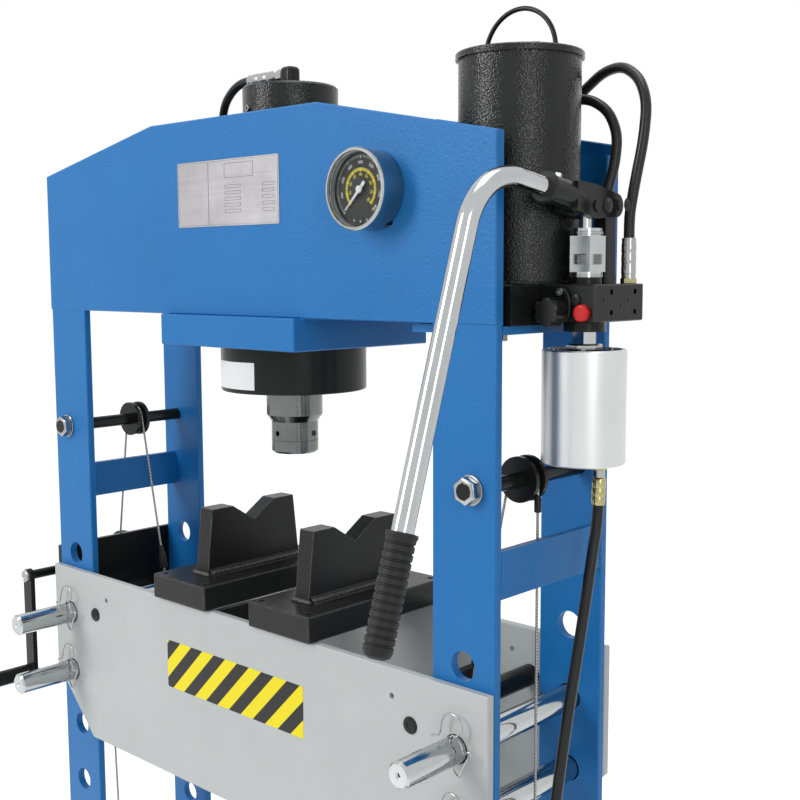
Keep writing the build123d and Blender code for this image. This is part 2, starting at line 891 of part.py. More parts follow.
# Plunger with a flat tongue, slotted for the sideways swing of the lever pin
tongue_bottom_z = plunger_pin_z - tongue_below_pin
slot_centre_y = slot_travel / 2
with BuildPart() as plunger:
    with BuildSketch(Plane.XY.offset(block_top_z - plunger_depth)):
        with Locations((pump_x, 0)):
            Circle(plunger_d / 2)
    extrude(amount=tongue_bottom_z + 1 - block_top_z + plunger_depth)
    with BuildSketch(Plane.YZ.offset(pump_x - tongue_t / 2)):
        with Locations((0, tongue_bottom_z)):
            Rectangle(tongue_w, tongue_h, align=(Align.CENTER, Align.MIN))
        with Locations((slot_centre_y, plunger_pin_z)):
            SlotCenterToCenter(
                slot_travel,
                lever_pin_d + 2 * slot_rise,
                mode=Mode.SUBTRACT,
            )
    extrude(amount=tongue_t)
save(plunger, "pump_plunger")

# Link that carries the lever pivot, with its foot on the block
with BuildPart() as link:
    with BuildSketch(Plane.YZ.offset(pump_x - tongue_t / 2)):
        with Locations((pivot_y, block_top_z)):
            Rectangle(link_w, pivot_z - block_top_z, align=(Align.CENTER, Align.MIN))
            Rectangle(link_foot_w, link_foot_h, align=(Align.CENTER, Align.MIN))
        with Locations((pivot_y, pivot_z)):
            Circle(link_top_r)
            Circle(lever_pin_d / 2 + pin_fit, mode=Mode.SUBTRACT)
    extrude(amount=tongue_t)
save(link, "fulcrum_link")

# Forked lever head with the socket for the handle
socket_axis = Vector(0, -cos(radians(socket_tilt)), sin(radians(socket_tilt)))
socket_start = Vector(pump_x, socket_start_y, (fork_nose_low_z + fork_nose_high_z) / 2)
fork_outline = [
    (fork_nose_y, fork_nose_low_z),
    (-4, fork_nose_low_z - 8),
    (pivot_y, pivot_z - fork_lobe_r),
    (pivot_y, pivot_z + fork_lobe_r),
    (-4, fork_nose_high_z - 2),
    (fork_nose_y, fork_nose_high_z),
]
with BuildPart() as fork:
    for plate_x in (pump_x - fork_gap / 2 - fork_t, pump_x + fork_gap / 2):
        with BuildSketch(Plane.YZ.offset(plate_x)):
            with BuildLine():
                Polyline(*fork_outline, close=True)
            make_face()
            with Locations((pivot_y, pivot_z)):
                Circle(fork_lobe_r)
            with Locations((0, plunger_pin_z), (pivot_y, pivot_z)):
                Circle(lever_pin_d / 2, mode=Mode.SUBTRACT)
        extrude(amount=fork_t)
    with BuildSketch(Plane(origin=socket_start, z_dir=socket_axis)):
        Circle(socket_d / 2)
    extrude(amount=socket_l)
    with BuildSketch(Plane(origin=socket_start + socket_axis * socket_l, z_dir=socket_axis)):
        Circle(handle_d / 2)
    extrude(amount=-handle_inset, mode=Mode.SUBTRACT)
save(fork, "lever_fork")

fork_half = fork_gap / 2 + fork_t
with BuildPart() as lever_pins:
    for pin_y, pin_z in ((0, plunger_pin_z), (pivot_y, pivot_z)):
        with BuildSketch(Plane.YZ.offset(pump_x - fork_half)):
            with Locations((pin_y, pin_z)):
                Circle(lever_pin_d / 2)
        extrude(amount=2 * fork_half)
        for head_x, outwards in ((pump_x + fork_half, 1), (pump_x - fork_half, -1)):
            with BuildSketch(Plane.YZ.offset(head_x)):
                with Locations((pin_y, pin_z)):
                    Circle(lever_pin_head_d / 2)
            extrude(amount=outwards * lever_pin_head_t)
save(lever_pins, "lever_pins")

# Bent handle tube and its rubber grip
socket_mouth = socket_start + socket_axis * socket_l
handle_start = socket_mouth - socket_axis * handle_inset
corner_run = (socket_mouth.Y - handle_corner_y) / cos(radians(socket_tilt))
handle_corner = socket_mouth + socket_axis * corner_run
drop = Vector(0, -sin(radians(handle_drop_tilt)), -cos(radians(handle_drop_tilt)))
handle_end = handle_corner + drop * handle_drop_l
grip_start = handle_end - drop * (grip_l - grip_end_t)
handle = round_tube([handle_start, handle_corner, handle_end], handle_d, handle_bend_r)
save(handle, "handle_tube")

with BuildPart() as grip:
    with BuildSketch(Plane(origin=grip_start, z_dir=drop)):
        Circle(grip_d / 2)
    extrude(amount=grip_l)
    fillet(grip.edges().sort_by(Axis.Z)[0], 2 * grip_end_t)
    with BuildSketch(Plane(origin=grip_start, z_dir=drop)):
        Circle(handle_d / 2)
    extrude(amount=grip_l - grip_end_t, mode=Mode.SUBTRACT)
save(grip, "handle_grip")

# Lobed knob of the release valve, screwed into the front of the block
knob_rear_y = block_front_y - 2
with BuildPart() as knob:
    with BuildSketch(upright(knob_rear_y)):
        with Locations((knob_x, knob_z)):
            Circle(knob_d / 2)
            with PolarLocations(knob_d / 2 + knob_lobe_d / 5, knob_lobes):
                Circle(knob_lobe_d / 2, mode=Mode.SUBTRACT)
    extrude(amount=knob_l)
    chamfer(knob.faces().sort_by(Axis.Y)[0].edges(), edge_break)
    with BuildSketch(upright(block_front_y + knob_stem_depth)):
        with Locations((knob_x, knob_z)):
            Circle(knob_stem_d / 2)
    extrude(amount=knob_stem_depth + 2)
save(knob, "release_knob")

with BuildPart() as relief:
    with BuildSketch(upright(block_front_y)):
        with Locations((relief_x, relief_z)):
            Circle(relief_d / 2)
    extrude(amount=relief_l)
    fillet(relief.faces().sort_by(Axis.Y)[0].edges(), 2 * edge_break)
    with BuildSketch(upright(block_front_y + relief_stem_l)):
        with Locations((relief_x, relief_z)):
            Circle(relief_stem_d / 2)
    extrude(amount=relief_stem_l)
save(relief, "relief_cap")

# Air motor hung under the block by a hexagon neck
neck_top_z = block_bottom_z - lower_boss_h
with BuildPart() as neck:
    with BuildSketch(Plane.XY.offset(motor_top_z - motor_recess)):
        with Locations((pump_x, 0)):
            RegularPolygon(motor_neck_af / 2, 6, major_radius=False)
    extrude(amount=neck_top_z - motor_top_z + motor_recess)
save(neck, "motor_neck")

with BuildPart() as motor:
    with BuildSketch(Plane.XY.offset(motor_bottom_z)):
        with Locations((pump_x, 0)):
            Circle(motor_d / 2)
    extrude(amount=motor_top_z - motor_bottom_z)
    chamfer(motor.edges(), edge_break)
    for end_z, inwards in ((motor_top_z, -1), (motor_bottom_z, 1)):
        with BuildSketch(Plane.XY.offset(end_z)):
            with Locations((pump_x, 0)):
                Circle(motor_d / 2 - motor_rim_w)
        extrude(amount=inwards * motor_recess, mode=Mode.SUBTRACT)
save(motor, "motor_shell")

# Upper and lower lift axles, right and left
axle_reach = column_face_y + axle_end_reach
with BuildPart() as axles:
    for centre_x in (-axle_x, axle_x):
        for centre_z in (low_axle_z, axle_z):
            with BuildSketch(Plane.XZ.offset(-axle_reach)):
                with Locations((centre_x, centre_z)):
                    Circle(axle_d / 2)
            extrude(amount=2 * axle_reach)
save(axles, "pulley_axles")

# Grooved pulleys on the axles
with BuildPart() as pulleys:
    for sign, rope_y in ((1, right_rope_y), (-1, left_rope_y)):
        levels = (axle_z, low_axle_z) if sign > 0 else (axle_z,)
        for level in levels:
            for start_y, width, diameter in (
                (rope_y + pulley_w / 2, pulley_flange_t, pulley_d),
                (rope_y + pulley_w / 2, pulley_w, pulley_groove_d),
                (rope_y - pulley_w / 2 + pulley_flange_t, pulley_flange_t, pulley_d),
            ):
                with BuildSketch(upright(start_y)):
                    with Locations((sign * axle_x, level)):
                        Circle(diameter / 2)
                        Circle(axle_d / 2, mode=Mode.SUBTRACT)
                extrude(amount=width)
    for start_y, width, diameter in (
        (right_rope_y + pulley_w / 2, pulley_flange_t, pulley_d),
        (right_rope_y + pulley_w / 2, pulley_w, pulley_groove_d),
        (right_rope_y - pulley_w / 2 + pulley_flange_t, pulley_flange_t, pulley_d),
    ):
        with BuildSketch(upright(start_y)):
            with Locations((-axle_x, low_axle_z)):
                Circle(diameter / 2)
                Circle(axle_d / 2, mode=Mode.SUBTRACT)
        extrude(amount=width)
save(pulleys, "lift_pulleys")

# Lifting ropes, tight from the bed over the pulleys to the winch
drum_r = winch_drum_d / 2
rope_low_z = low_axle_z - rope_r
rope_high_z = axle_z + rope_r
span_x, span_z = axle_x - bar_x, axle_z - bar_z
lean = atan2(span_x, span_z) - asin(rope_r / hypot(span_x, span_z))
anchor_x = bar_x + bar_d / 2 * sin(lean)
anchor_z = bar_z + bar_d / 2 * cos(lean)
crest_x = axle_x - rope_r * tan((pi / 2 - lean) / 2)
groove_bend = rope_r - 0.1
drum_side_x = winch_x + drum_r + rope_d / 2
right_route = [
    (anchor_x, right_rope_y, anchor_z),
    (crest_x, right_rope_y, rope_high_z),
    (axle_x + rope_r, right_rope_y, rope_high_z),
    (axle_x + rope_r, right_rope_y, rope_low_z),
    (-axle_x - rope_r, right_rope_y, rope_low_z),
    (drum_side_x, right_rope_y, winch_z),
]
right_rope = round_tube(right_route, rope_d, groove_bend)
save(right_rope, "lift_rope_right")

left_route = [
    (-anchor_x, left_rope_y, anchor_z),
    (-crest_x, left_rope_y, rope_high_z),
    (-axle_x - rope_r + 2, left_rope_y, rope_high_z),
    (drum_side_x, left_rope_y, winch_z),
]
left_rope = round_tube(left_route, rope_d, groove_bend - 2)
save(left_rope, "lift_rope_left")

# Hand winch on the outside of the left columns: bracket with two cheeks
cheek_inner_x = -half_w - winch_plate_t
with BuildPart() as winch:
    with BuildSketch(Plane.YZ.offset(-half_w)):
        with Locations((0, winch_z)):
            Rectangle(frame_d, winch_plate_h)
    extrude(amount=-winch_plate_t)
    with BuildSketch(Plane.XZ.offset(-winch_cheek_y)):
        with Locations((winch_x, winch_z)):
            Circle(winch_plate_h / 2 - winch_shaft_d / 2)
            with Locations(((cheek_inner_x - winch_x) / 2, 0)):
                Rectangle(cheek_inner_x - winch_x, winch_plate_h - winch_shaft_d)
            Circle(winch_shaft_d / 2 + winch_shaft_fit, mode=Mode.SUBTRACT)
    extrude(amount=winch_cheek_t)
    mirror(about=Plane.XZ)
save(winch, "winch_body")

# Winch drum with its flanges, shaft and crank in one turning piece
drum_half = winch_drum_l / 2
arm_end_z = winch_z - crank_arm_l
with BuildPart() as crank:
    for start_y, width, diameter in (
        (drum_half, winch_drum_l, winch_drum_d),
        (drum_half, winch_flange_t, winch_flange_d),
        (-drum_half + winch_flange_t, winch_flange_t, winch_flange_d),
        (winch_cheek_y + 6, winch_cheek_y + 6 - crank_reach_y, winch_shaft_d),
    ):
        with BuildSketch(upright(start_y)):
            with Locations((winch_x, winch_z)):
                Circle(diameter / 2)
        extrude(amount=width)
    with BuildSketch(upright(crank_reach_y + crank_arm_t)):
        with Locations((winch_x, (winch_z + arm_end_z) / 2)):
            SlotCenterToCenter(crank_arm_l, crank_arm_w, rotation=90)
    extrude(amount=crank_arm_t)
    with BuildSketch(upright(crank_reach_y)):
        with Locations((winch_x, arm_end_z)):
            Circle(crank_grip_d / 2)
    extrude(amount=crank_grip_l)
save(crank, "winch_crank")

# Pedal on the floor: open-topped housing with a hose port at the rear
pedal_front_y = pedal_rear_y - pedal_l
pedal_mid_y = (pedal_rear_y + pedal_front_y) / 2
pin_y_pedal = pedal_rear_y - pedal_pin_inset
with BuildPart() as pedal:
    with BuildSketch(Plane.XY):
        with Locations((pedal_x, pedal_mid_y)):
            Rectangle(pedal_w, pedal_l)
    extrude(amount=pedal_h * 0.6)
    chamfer(pedal.edges().group_by(Axis.Z)[-1], edge_break)
    for ear_x in (pedal_x - pedal_w / 2, pedal_x + pedal_w / 2 - treadle_ear_t):
        with BuildSketch(Plane.YZ.offset(ear_x)):
            with Locations((pin_y_pedal, 0)):
                Rectangle(3 * pedal_pin_d, pedal_pin_z, align=(Align.CENTER, Align.MIN))
            with Locations((pin_y_pedal, pedal_pin_z)):
                Circle(1.5 * pedal_pin_d)
        extrude(amount=treadle_ear_t)
    with BuildSketch(Plane.YZ.offset(pedal_x - pedal_w / 2)):
        with Locations((pin_y_pedal, pedal_pin_z)):
            Circle(pedal_pin_d / 2)
    extrude(amount=pedal_w)
    with BuildSketch(upright(pedal_rear_y + pedal_port_l)):
        with Locations((pedal_x, pedal_port_z - 9)):
            Circle(pedal_port_d / 2)
    extrude(amount=pedal_port_l)
save(pedal, "pedal_base")

# Treadle plate hinged on the pedal pin, raised at the front
treadle_w = pedal_w - 2 * treadle_ear_t - 2
treadle_l = pedal_l - 10
with BuildPart() as treadle:
    with BuildSketch(Plane.YZ.offset(pedal_x - treadle_w / 2)):
        with Locations(Location((pin_y_pedal, pedal_pin_z), -treadle_tilt)):
            with Locations((pedal_pin_inset - 8, 3)):
                Rectangle(treadle_l, treadle_t, align=(Align.MAX, Align.MIN))
            Circle(pedal_pin_d / 2 + 4)
            Circle(pedal_pin_d / 2 + pin_fit, mode=Mode.SUBTRACT)
    extrude(amount=treadle_w)
save(treadle, "pedal_treadle")

# Oil hoses behind the tank, held at both ends
pressure_start = (-elbow_w / 2 - elbow_nut_l - 38, 0, elbow_mid_z)
pressure_end = (half_w + 68, 50, 1622)
pressure_route = [
    pressure_start,
    (-118, 0, elbow_mid_z),
    (-163, 6, 1840),
    (-187, 24, 1785),
    (-180, 55, 1720),
    (-125, 84, 1674),
    (-40, 91, 1656),
    (60, 90, 1655),
    (150, 86, 1668),
    (230, 81, 1671),
    (305, 89, 1690),
    (half_w - 115, 100, 1737),
    (half_w - 77, 106, 1778),
    (half_w - 43, 105, 1806),
    (half_w - 3, 99, 1830),
    (half_w + 31, 90, 1832),
    (half_w + 61, 79, 1813),
    (half_w + 78, 68, 1782),
    (half_w + 80, 59, 1738),
    (half_w + 74, 52, 1690),
    (half_w + 68, 50, 1650),
    pressure_end,
]
pressure_hose = round_tube(pressure_route, hose_d, full_bends(pressure_route, "hose_pressure"))
save(pressure_hose, "hose_pressure")

gauge_line_start = (stem_x, head_front_y + head_t + 14, stem_z)
gauge_line_end = (half_w + 20, 58, 1606)
gauge_route = [
    gauge_line_start,
    (stem_x, -45, stem_z),
    (308, 15, 1640),
    (322, 66, 1655),
    (half_w - 123, 86, 1692),
    (half_w - 98, 88, 1741),
    (half_w - 76, 87, 1780),
    (half_w - 48, 86, 1797),
    (half_w - 15, 85, 1797),
    (half_w + 14, 84, 1780),
    (half_w + 30, 81, 1750),
    (half_w + 31, 75, 1714),
    (half_w + 25, 66, 1676),
    (half_w + 20, 58, 1640),
    gauge_line_end,
]
gauge_hose = round_tube(gauge_route, hose_d, full_bends(gauge_route, "hose_gauge"))
save(gauge_hose, "hose_gauge")

# Metal ends of the hoses and the air fitting under the motor
with BuildPart() as ferrules:
    for end_x, end_y, end_z in (pressure_end, gauge_line_end):
        with BuildSketch(Plane.XY.offset(block_top_z)):
            with Locations((end_x, end_y)):
                Circle(ferrule_end_d / 2)
        extrude(amount=ferrule_nut_h)
        with BuildSketch(Plane.XY.offset(block_top_z + ferrule_nut_h)):
            with Locations((end_x, end_y)):
                Circle(ferrule_d / 2)
        extrude(amount=end_z - block_top_z - ferrule_nut_h)
    with BuildSketch(Plane.YZ.offset(pressure_start[0])):
        with Locations((0, elbow_mid_z)):
            Circle(ferrule_end_d / 2)
    extrude(amount=38)
    air_exit_z = motor_bottom_z - 26
    with BuildSketch(Plane.XY.offset(air_exit_z)):
        with Locations((air_port_x, air_port_y)):
            Circle(motor_port_d / 2)
    extrude(amount=motor_bottom_z + motor_recess - air_exit_z)
save(ferrules, "hose_fittings")

# Air hose from the motor down to the floor and forward to the pedal
air_route = [
    (air_port_x, air_port_y, air_exit_z),
    (air_port_x, air_port_y, 1288),
    (520, 12, 1222),
    (519, -6, 1140),
    (518, -30, 1045),
    (518, -55, 935),
    (518, -82, 800),
    (521, -106, 650),
    (526, -128, 500),
    (531, -152, 360),
    (535, -180, 232),
    (538, -214, 128),
    (540, -258, 54),
    (540, -312, 20),
    (pedal_x, -350, 15),
    (pedal_x, pedal_rear_y + pedal_port_l, pedal_port_z - 9),
]
air_hose = round_tube(air_route, air_hose_d, full_bends(air_route, "air_hose"))
save(air_hose, "air_hose")
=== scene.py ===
"""Workshop hydraulic press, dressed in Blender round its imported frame, in metres."""

import logging
from dataclasses import dataclass
from enum import Enum
from math import cos, hypot, pi, radians, sin, sqrt
from random import Random
from typing import Sequence

import bmesh
import bpy
from mathutils import Matrix, Vector


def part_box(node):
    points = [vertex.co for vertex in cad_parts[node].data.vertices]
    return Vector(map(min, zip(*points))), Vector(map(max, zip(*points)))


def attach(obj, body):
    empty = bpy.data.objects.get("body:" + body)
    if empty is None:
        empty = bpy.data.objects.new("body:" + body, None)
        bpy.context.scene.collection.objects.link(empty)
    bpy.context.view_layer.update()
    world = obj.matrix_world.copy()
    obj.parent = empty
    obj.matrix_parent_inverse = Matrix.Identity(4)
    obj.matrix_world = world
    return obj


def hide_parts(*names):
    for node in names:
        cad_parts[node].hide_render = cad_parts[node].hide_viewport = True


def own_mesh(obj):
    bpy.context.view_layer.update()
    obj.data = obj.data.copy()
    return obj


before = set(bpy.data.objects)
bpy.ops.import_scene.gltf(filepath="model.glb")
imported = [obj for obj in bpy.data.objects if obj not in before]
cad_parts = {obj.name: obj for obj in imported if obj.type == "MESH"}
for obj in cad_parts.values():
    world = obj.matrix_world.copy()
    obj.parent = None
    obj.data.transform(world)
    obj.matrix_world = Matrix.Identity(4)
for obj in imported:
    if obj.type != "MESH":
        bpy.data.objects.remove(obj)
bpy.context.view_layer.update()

log = logging.getLogger("press")
logging.basicConfig(level=logging.INFO, format="%(name)s: %(message)s")

Point = tuple[float, float, float]
Colour = tuple[float, float, float]
Profile = Sequence[tuple[float, float]]

Piece = bpy.types.Object
Material = bpy.types.Material
Tree = bpy.types.NodeTree
Node = bpy.types.Node
Socket = bpy.types.NodeSocket

TO_FRONT = Matrix.Rotation(radians(90), 4, "X")  # turns a face that looks up to the front
WAVE_SCALE = 0.31416  # scale of a wave texture with bands a metre apart


class Body(Enum):
    """Bodies of the frame that pieces ride on."""

    FRAME = "frame"
    RAM = "ram"
    LEVER = "lever"
    TREADLE = "treadle"
    NEEDLE = "needle"
    PIN_UPPER_LEFT = "pin_upper_left"
    PIN_LOWER_LEFT = "pin_lower_left"
    PIN_UPPER_RIGHT = "pin_upper_right"
    PIN_LOWER_RIGHT = "pin_lower_right"


class Facing(Enum):
    """Direction in which a turned or flat piece faces."""

    UP = (0, 0, 1)
    DOWN = (0, 0, -1)
    FRONT = (0, -1, 0)
    REAR = (0, 1, 0)
    RIGHT = (1, 0, 0)
    LEFT = (-1, 0, 0)


# Node sheets and shared effects


class NodeSheet:
    """A node tree with short calls for adding and joining nodes."""

    def __init__(self, tree: Tree) -> None:
        """Keep the tree that nodes go into."""
        self.tree = tree

    def add(self, kind: str, **values: object) -> Node:
        """Add a node and set its sockets and settings.

        Args:
            kind: The node's type, without its ShaderNode prefix.
            values: Settings of the node, or values for its input sockets by name.

        Returns:
            The new node.
        """
        node = self.tree.nodes.new("ShaderNode" + kind)
        for name, value in values.items():
            label = name.replace("_", " ").title()
            if label in node.inputs:
                node.inputs[label].default_value = value
            else:
                setattr(node, name, value)
        return node

    def join(self, source: Socket, target: Socket) -> None:
        """Join an output socket to an input socket."""
        self.tree.links.new(source, target)

    def pattern(self, kind: str = "TexNoise", **values: object) -> Node:
        """Add a pattern or a mapping that reads Object coordinates.

        Args:
            kind: The node's type, without its ShaderNode prefix.
            values: Its settings and values, as for add.

        Returns:
            The new node.
        """
        node = self.add(kind, **values)
        self.join(self.add("TexCoord").outputs["Object"], node.inputs["Vector"])
        return node

    def maths(self, operation: str, first: Socket, second: Socket, clamp: bool = False) -> Socket:
        """Work out a value from two others.

        Args:
            operation: Name of the operation.
            first: Output socket with the first value.
            second: Output socket with the second value.
            clamp: Keep the result between 0 and 1.

        Returns:
            The result's output socket.
        """
        node = self.add("Math", operation=operation, use_clamp=clamp)
        self.join(first, node.inputs[0])
        self.join(second, node.inputs[1])
        return node.outputs[0]

    def blend(self, mask: Socket, low: object, high: object) -> Socket:
        """Mix two colours by a mask.

        Args:
            mask: Output socket with the mask.
            low: Colour or output socket where the mask is 0.
            high: Colour or output socket where the mask is 1.

        Returns:
            The mixed colour's output socket.
        """
        node = self.add("Mix", data_type="RGBA")
        self.join(mask, node.inputs[0])
        for index, value in ((6, low), (7, high)):
            if isinstance(value, Socket):
                self.join(value, node.inputs[index])
            else:
                node.inputs[index].default_value = (*value, 1.0)
        return node.outputs[2]

    def ramp(
        self, source: Socket, start: float = 0.0, end: float = 1.0,
        low: float = 0.3, high: float = 0.7,
    ) -> Socket:
        """Map a value from one range to another, clamped.

        Args:
            source: Output socket with the value.
            start: Result at low.
            end: Result at high.
            low: Source value that maps to start.
            high: Source value that maps to end.

        Returns:
            The mapped value's output socket.
        """
        node = self.add("MapRange", from_min=low, from_max=high, to_min=start, to_max=end)
        self.join(source, node.inputs["Value"])
        return node.outputs["Result"]

    def mix(self, mask: Socket, low: Socket, high: Socket, leave: Socket) -> None:
        """Mix two shaders by a mask into an output.

        Args:
            mask: Output socket with the mask.
            low: Shader where the mask is 0.
            high: Shader where the mask is 1.
            leave: Input socket that takes the result.
        """
        node = self.add("MixShader")
        for source, target in zip((mask, low, high), node.inputs):
            self.join(source, target)
        self.join(node.outputs[0], leave)


class Effects:
    """Shader groups that several finishes share, each built once."""

    def __init__(self) -> None:
        """Build the groups."""
        self.peel = self._build_relief("paint_peel", 300.0, 5.0, 0.0006, "TexNoise",
                                       detail=3.0, roughness=0.55)
        self.hammer = self._build_relief("hammered_dimples", 300.0, 9.0, 0.0016, "TexVoronoi",
                                         feature="SMOOTH_F1")
        self.edge = self._build_edge()
        self.lines = self._build_lines()
        self.dust = self._build_dust()

    def _start(
        self, name: str, inputs: dict[str, float | None], outputs: Sequence[str]
    ) -> tuple[NodeSheet, bpy.types.NodeOutputs, bpy.types.NodeInputs]:
        """Make an empty group with its sockets.

        Args:
            name: Name of the group.
            inputs: Starting value of each input, or None for a vector.
            outputs: Names of the outputs, of which Normal is a vector.

        Returns:
            The group's node sheet, what comes in and what goes out.
        """
        tree = bpy.data.node_groups.new(name, "ShaderNodeTree")
        for label, value in inputs.items():
            kind = "NodeSocketVector" if value is None else "NodeSocketFloat"
            socket = tree.interface.new_socket(name=label, in_out="INPUT", socket_type=kind)
            if value is not None:
                socket.default_value = value
        for label in outputs:
            kind = "NodeSocketVector" if label == "Normal" else "NodeSocketFloat"
            tree.interface.new_socket(name=label, in_out="OUTPUT", socket_type=kind)
        entry = tree.nodes.new("NodeGroupInput")
        leave = tree.nodes.new("NodeGroupOutput")
        return NodeSheet(tree), entry.outputs, leave.inputs

    def _bump(
        self, sheet: NodeSheet, height: Socket, strength: Socket,
        depth: float, normal: Socket,
    ) -> None:
        """Turn a height into a normal.

        Args:
            sheet: The group's node sheet.
            height: Output socket with the height.
            strength: Output socket with its strength.
            depth: Depth of the relief.
            normal: Input socket that takes the normal.
        """
        bump = sheet.add("Bump", distance=depth)
        sheet.join(height, bump.inputs["Height"])
        sheet.join(strength, bump.inputs["Strength"])
        sheet.join(bump.outputs["Normal"], normal)

    def _build_relief(
        self, name: str, scale: float, cloud: float, depth: float, kind: str, **values: object
    ) -> Tree:
        """Build the relief of a paint, with a slow cloud of shade.

        Args:
            name: Name of the group.
            scale: Starting scale of the relief.
            cloud: Starting scale of the cloud.
            depth: Depth of the relief.
            kind: Type of the relief's pattern.
            values: Settings of that pattern.

        Returns:
            The group.
        """
        sheet, knobs, leave = self._start(
            name, {"Scale": scale, "Strength": 0.3, "Cloud Scale": cloud},
            ("Normal", "Cloud", "Grain"),
        )
        fine = sheet.pattern(kind, **values)
        sheet.join(knobs["Scale"], fine.inputs["Scale"])
        self._bump(sheet, fine.outputs[0], knobs["Strength"], depth, leave["Normal"])
        slow = sheet.pattern(detail=4.0, roughness=0.6)
        sheet.join(knobs["Cloud Scale"], slow.inputs["Scale"])
        sheet.join(slow.outputs[0], leave["Cloud"])
        sheet.join(fine.outputs[0], leave["Grain"])
        return sheet.tree

    def _build_edge(self) -> Tree:
        """Build a mask along convex edges, broken into patches, where paint is lightened partly by
        wear and partly by a painted highlight.
        """
        sheet, knobs, leave = self._start("edge_wear", {"Radius": 0.002, "Reach": 1.0}, ("Mask",))
        round_off = sheet.add("Bevel", samples=4)
        sheet.join(knobs["Radius"], round_off.inputs["Radius"])
        dot = sheet.add("VectorMath", operation="DOT_PRODUCT")
        sheet.join(round_off.outputs["Normal"], dot.inputs[0])
        sheet.join(sheet.add("NewGeometry").outputs["Normal"], dot.inputs[1])
        mask = sheet.ramp(dot.outputs["Value"], low=0.995, high=0.86)
        broken = sheet.pattern(scale=90.0, detail=4.0)
        patch = sheet.ramp(broken.outputs[0], 0.25, 1.0, 0.35, 0.65)
        # Painted highlight and wear together: the edge mask, broken into patches.
        worn_and_lit = sheet.maths("MULTIPLY", mask, patch)
        sheet.join(sheet.maths("MULTIPLY", worn_and_lit, knobs["Reach"], True), leave["Mask"])
        return sheet.tree

    def _build_lines(self) -> Tree:
        """Build fine lines of turning, drawing or brushing, stretched by a scale."""
        sheet, knobs, leave = self._start(
            "tool_lines", {"Stretch": None, "Strength": 0.2}, ("Normal", "Shade")
        )
        stretch = sheet.pattern("Mapping")
        sheet.join(knobs["Stretch"], stretch.inputs["Scale"])
        grain = sheet.add("TexNoise", scale=1.0, detail=5.0, roughness=0.7)
        sheet.join(stretch.outputs["Vector"], grain.inputs["Vector"])
        self._bump(sheet, grain.outputs[0], knobs["Strength"], 0.0002, leave["Normal"])
        sheet.join(grain.outputs[0], leave["Shade"])
        return sheet.tree

    def _build_dust(self) -> Tree:
        """Build a mask of dust that lies on level faces."""
        sheet, knobs, leave = self._start("settled_dust", {"Amount": 0.3}, ("Mask",))
        parts = sheet.add("SeparateXYZ")
        sheet.join(sheet.add("NewGeometry").outputs["Normal"], parts.inputs[0])
        level = sheet.ramp(parts.outputs["Z"], low=0.6, high=1.0)
        drift = sheet.pattern(scale=24.0, detail=6.0, roughness=0.65)
        patch = sheet.ramp(drift.outputs[0], 0.2, 1.0, 0.35, 0.75)
        lying = sheet.maths("MULTIPLY", level, patch)
        sheet.join(sheet.maths("MULTIPLY", lying, knobs["Amount"], True), leave["Mask"])
        return sheet.tree


EFFECTS = Effects()


def new_material(name: str) -> tuple[Material, NodeSheet, Node]:
    """Start a material with its shader.

    Args:
        name: Name of the material.

    Returns:
        The material, its node sheet and its Principled BSDF node.
    """
    material = bpy.data.materials.new(name)
    material.use_nodes = True
    skin = material.node_tree.nodes["Principled BSDF"]
    return material, NodeSheet(material.node_tree), skin


def seen_or_reflected(sheet: NodeSheet) -> Socket:
    """Build a mask of rays from the camera, from a mirror or through glass."""
    way = sheet.add("LightPath").outputs
    first = sheet.maths("MAXIMUM", way["Is Camera Ray"], way["Is Glossy Ray"])
    return sheet.maths("MAXIMUM", first, way["Is Transmission Ray"])


def effect(sheet: NodeSheet, tree: Tree, **values: object) -> Node:
    """Place a shared effect in a material.

    Args:
        sheet: The material's node sheet.
        tree: The effect's group.
        values: Values for the group's inputs.

    Returns:
        The group node.
    """
    node = sheet.tree.nodes.new("ShaderNodeGroup")
    node.node_tree = tree
    for name, value in values.items():
        node.inputs[name.replace("_", " ").title()].default_value = value
    return node


def coat(
    sheet: NodeSheet, skin: Node, colour: Socket,
    grain: Socket, rough: tuple[float, float], normal: Socket,
) -> None:
    """Feed a shader its colour, its roughness from a grain, and its normal.

    Args:
        sheet: The material's node sheet.
        skin: The shader.
        colour: Output socket with the colour.
        grain: Output socket with the grain.
        rough: Roughness in the grain's hollows and on its crests.
        normal: Output socket with the normal.
    """
    sheet.join(colour, skin.inputs["Base Color"])
    sheet.join(sheet.ramp(grain, *rough), skin.inputs["Roughness"])
    sheet.join(normal, skin.inputs["Normal"])


@dataclass(frozen=True)
class Paint:
    """Sprayed paint with peel, a slow change of shade, edges lightened partly by wear and partly
    by a painted highlight, and dust.
    """

    name: str
    colour: Colour
    shade: Colour
    # Colour of convex edges: partly wear and partly a painted highlight.
    edge: Colour | None = None
    rough: tuple[float, float] = (0.32, 0.45)
    scale: float = 300.0
    relief: float = 0.3
    edge_reach: float = 0.4
    edge_radius: float = 0.0016
    dust: float = 0.0
    dust_colour: Colour = (0.33, 0.32, 0.30)
    gloss: float = 0.5
    hammered: bool = False

    def build(self) -> Material:
        """Build the material."""
        material, sheet, skin = new_material(self.name)
        skin.inputs["Specular IOR Level"].default_value = self.gloss
        surface = effect(sheet, EFFECTS.hammer if self.hammered else EFFECTS.peel,
                         scale=self.scale, strength=self.relief).outputs
        base = sheet.blend(sheet.ramp(surface["Cloud"]), self.colour, self.shade)
        # Lighten convex edges with the edge colour: partly wear, partly a painted highlight.
        if self.edge:
            edge = effect(sheet, EFFECTS.edge, radius=self.edge_radius, reach=self.edge_reach)
            base = sheet.blend(edge.outputs["Mask"], base, self.edge)
        if self.dust:
            dust = effect(sheet, EFFECTS.dust, amount=self.dust)
            base = sheet.blend(dust.outputs["Mask"], base, self.dust_colour)
        coat(sheet, skin, base, surface["Grain"], self.rough, surface["Normal"])
        return material


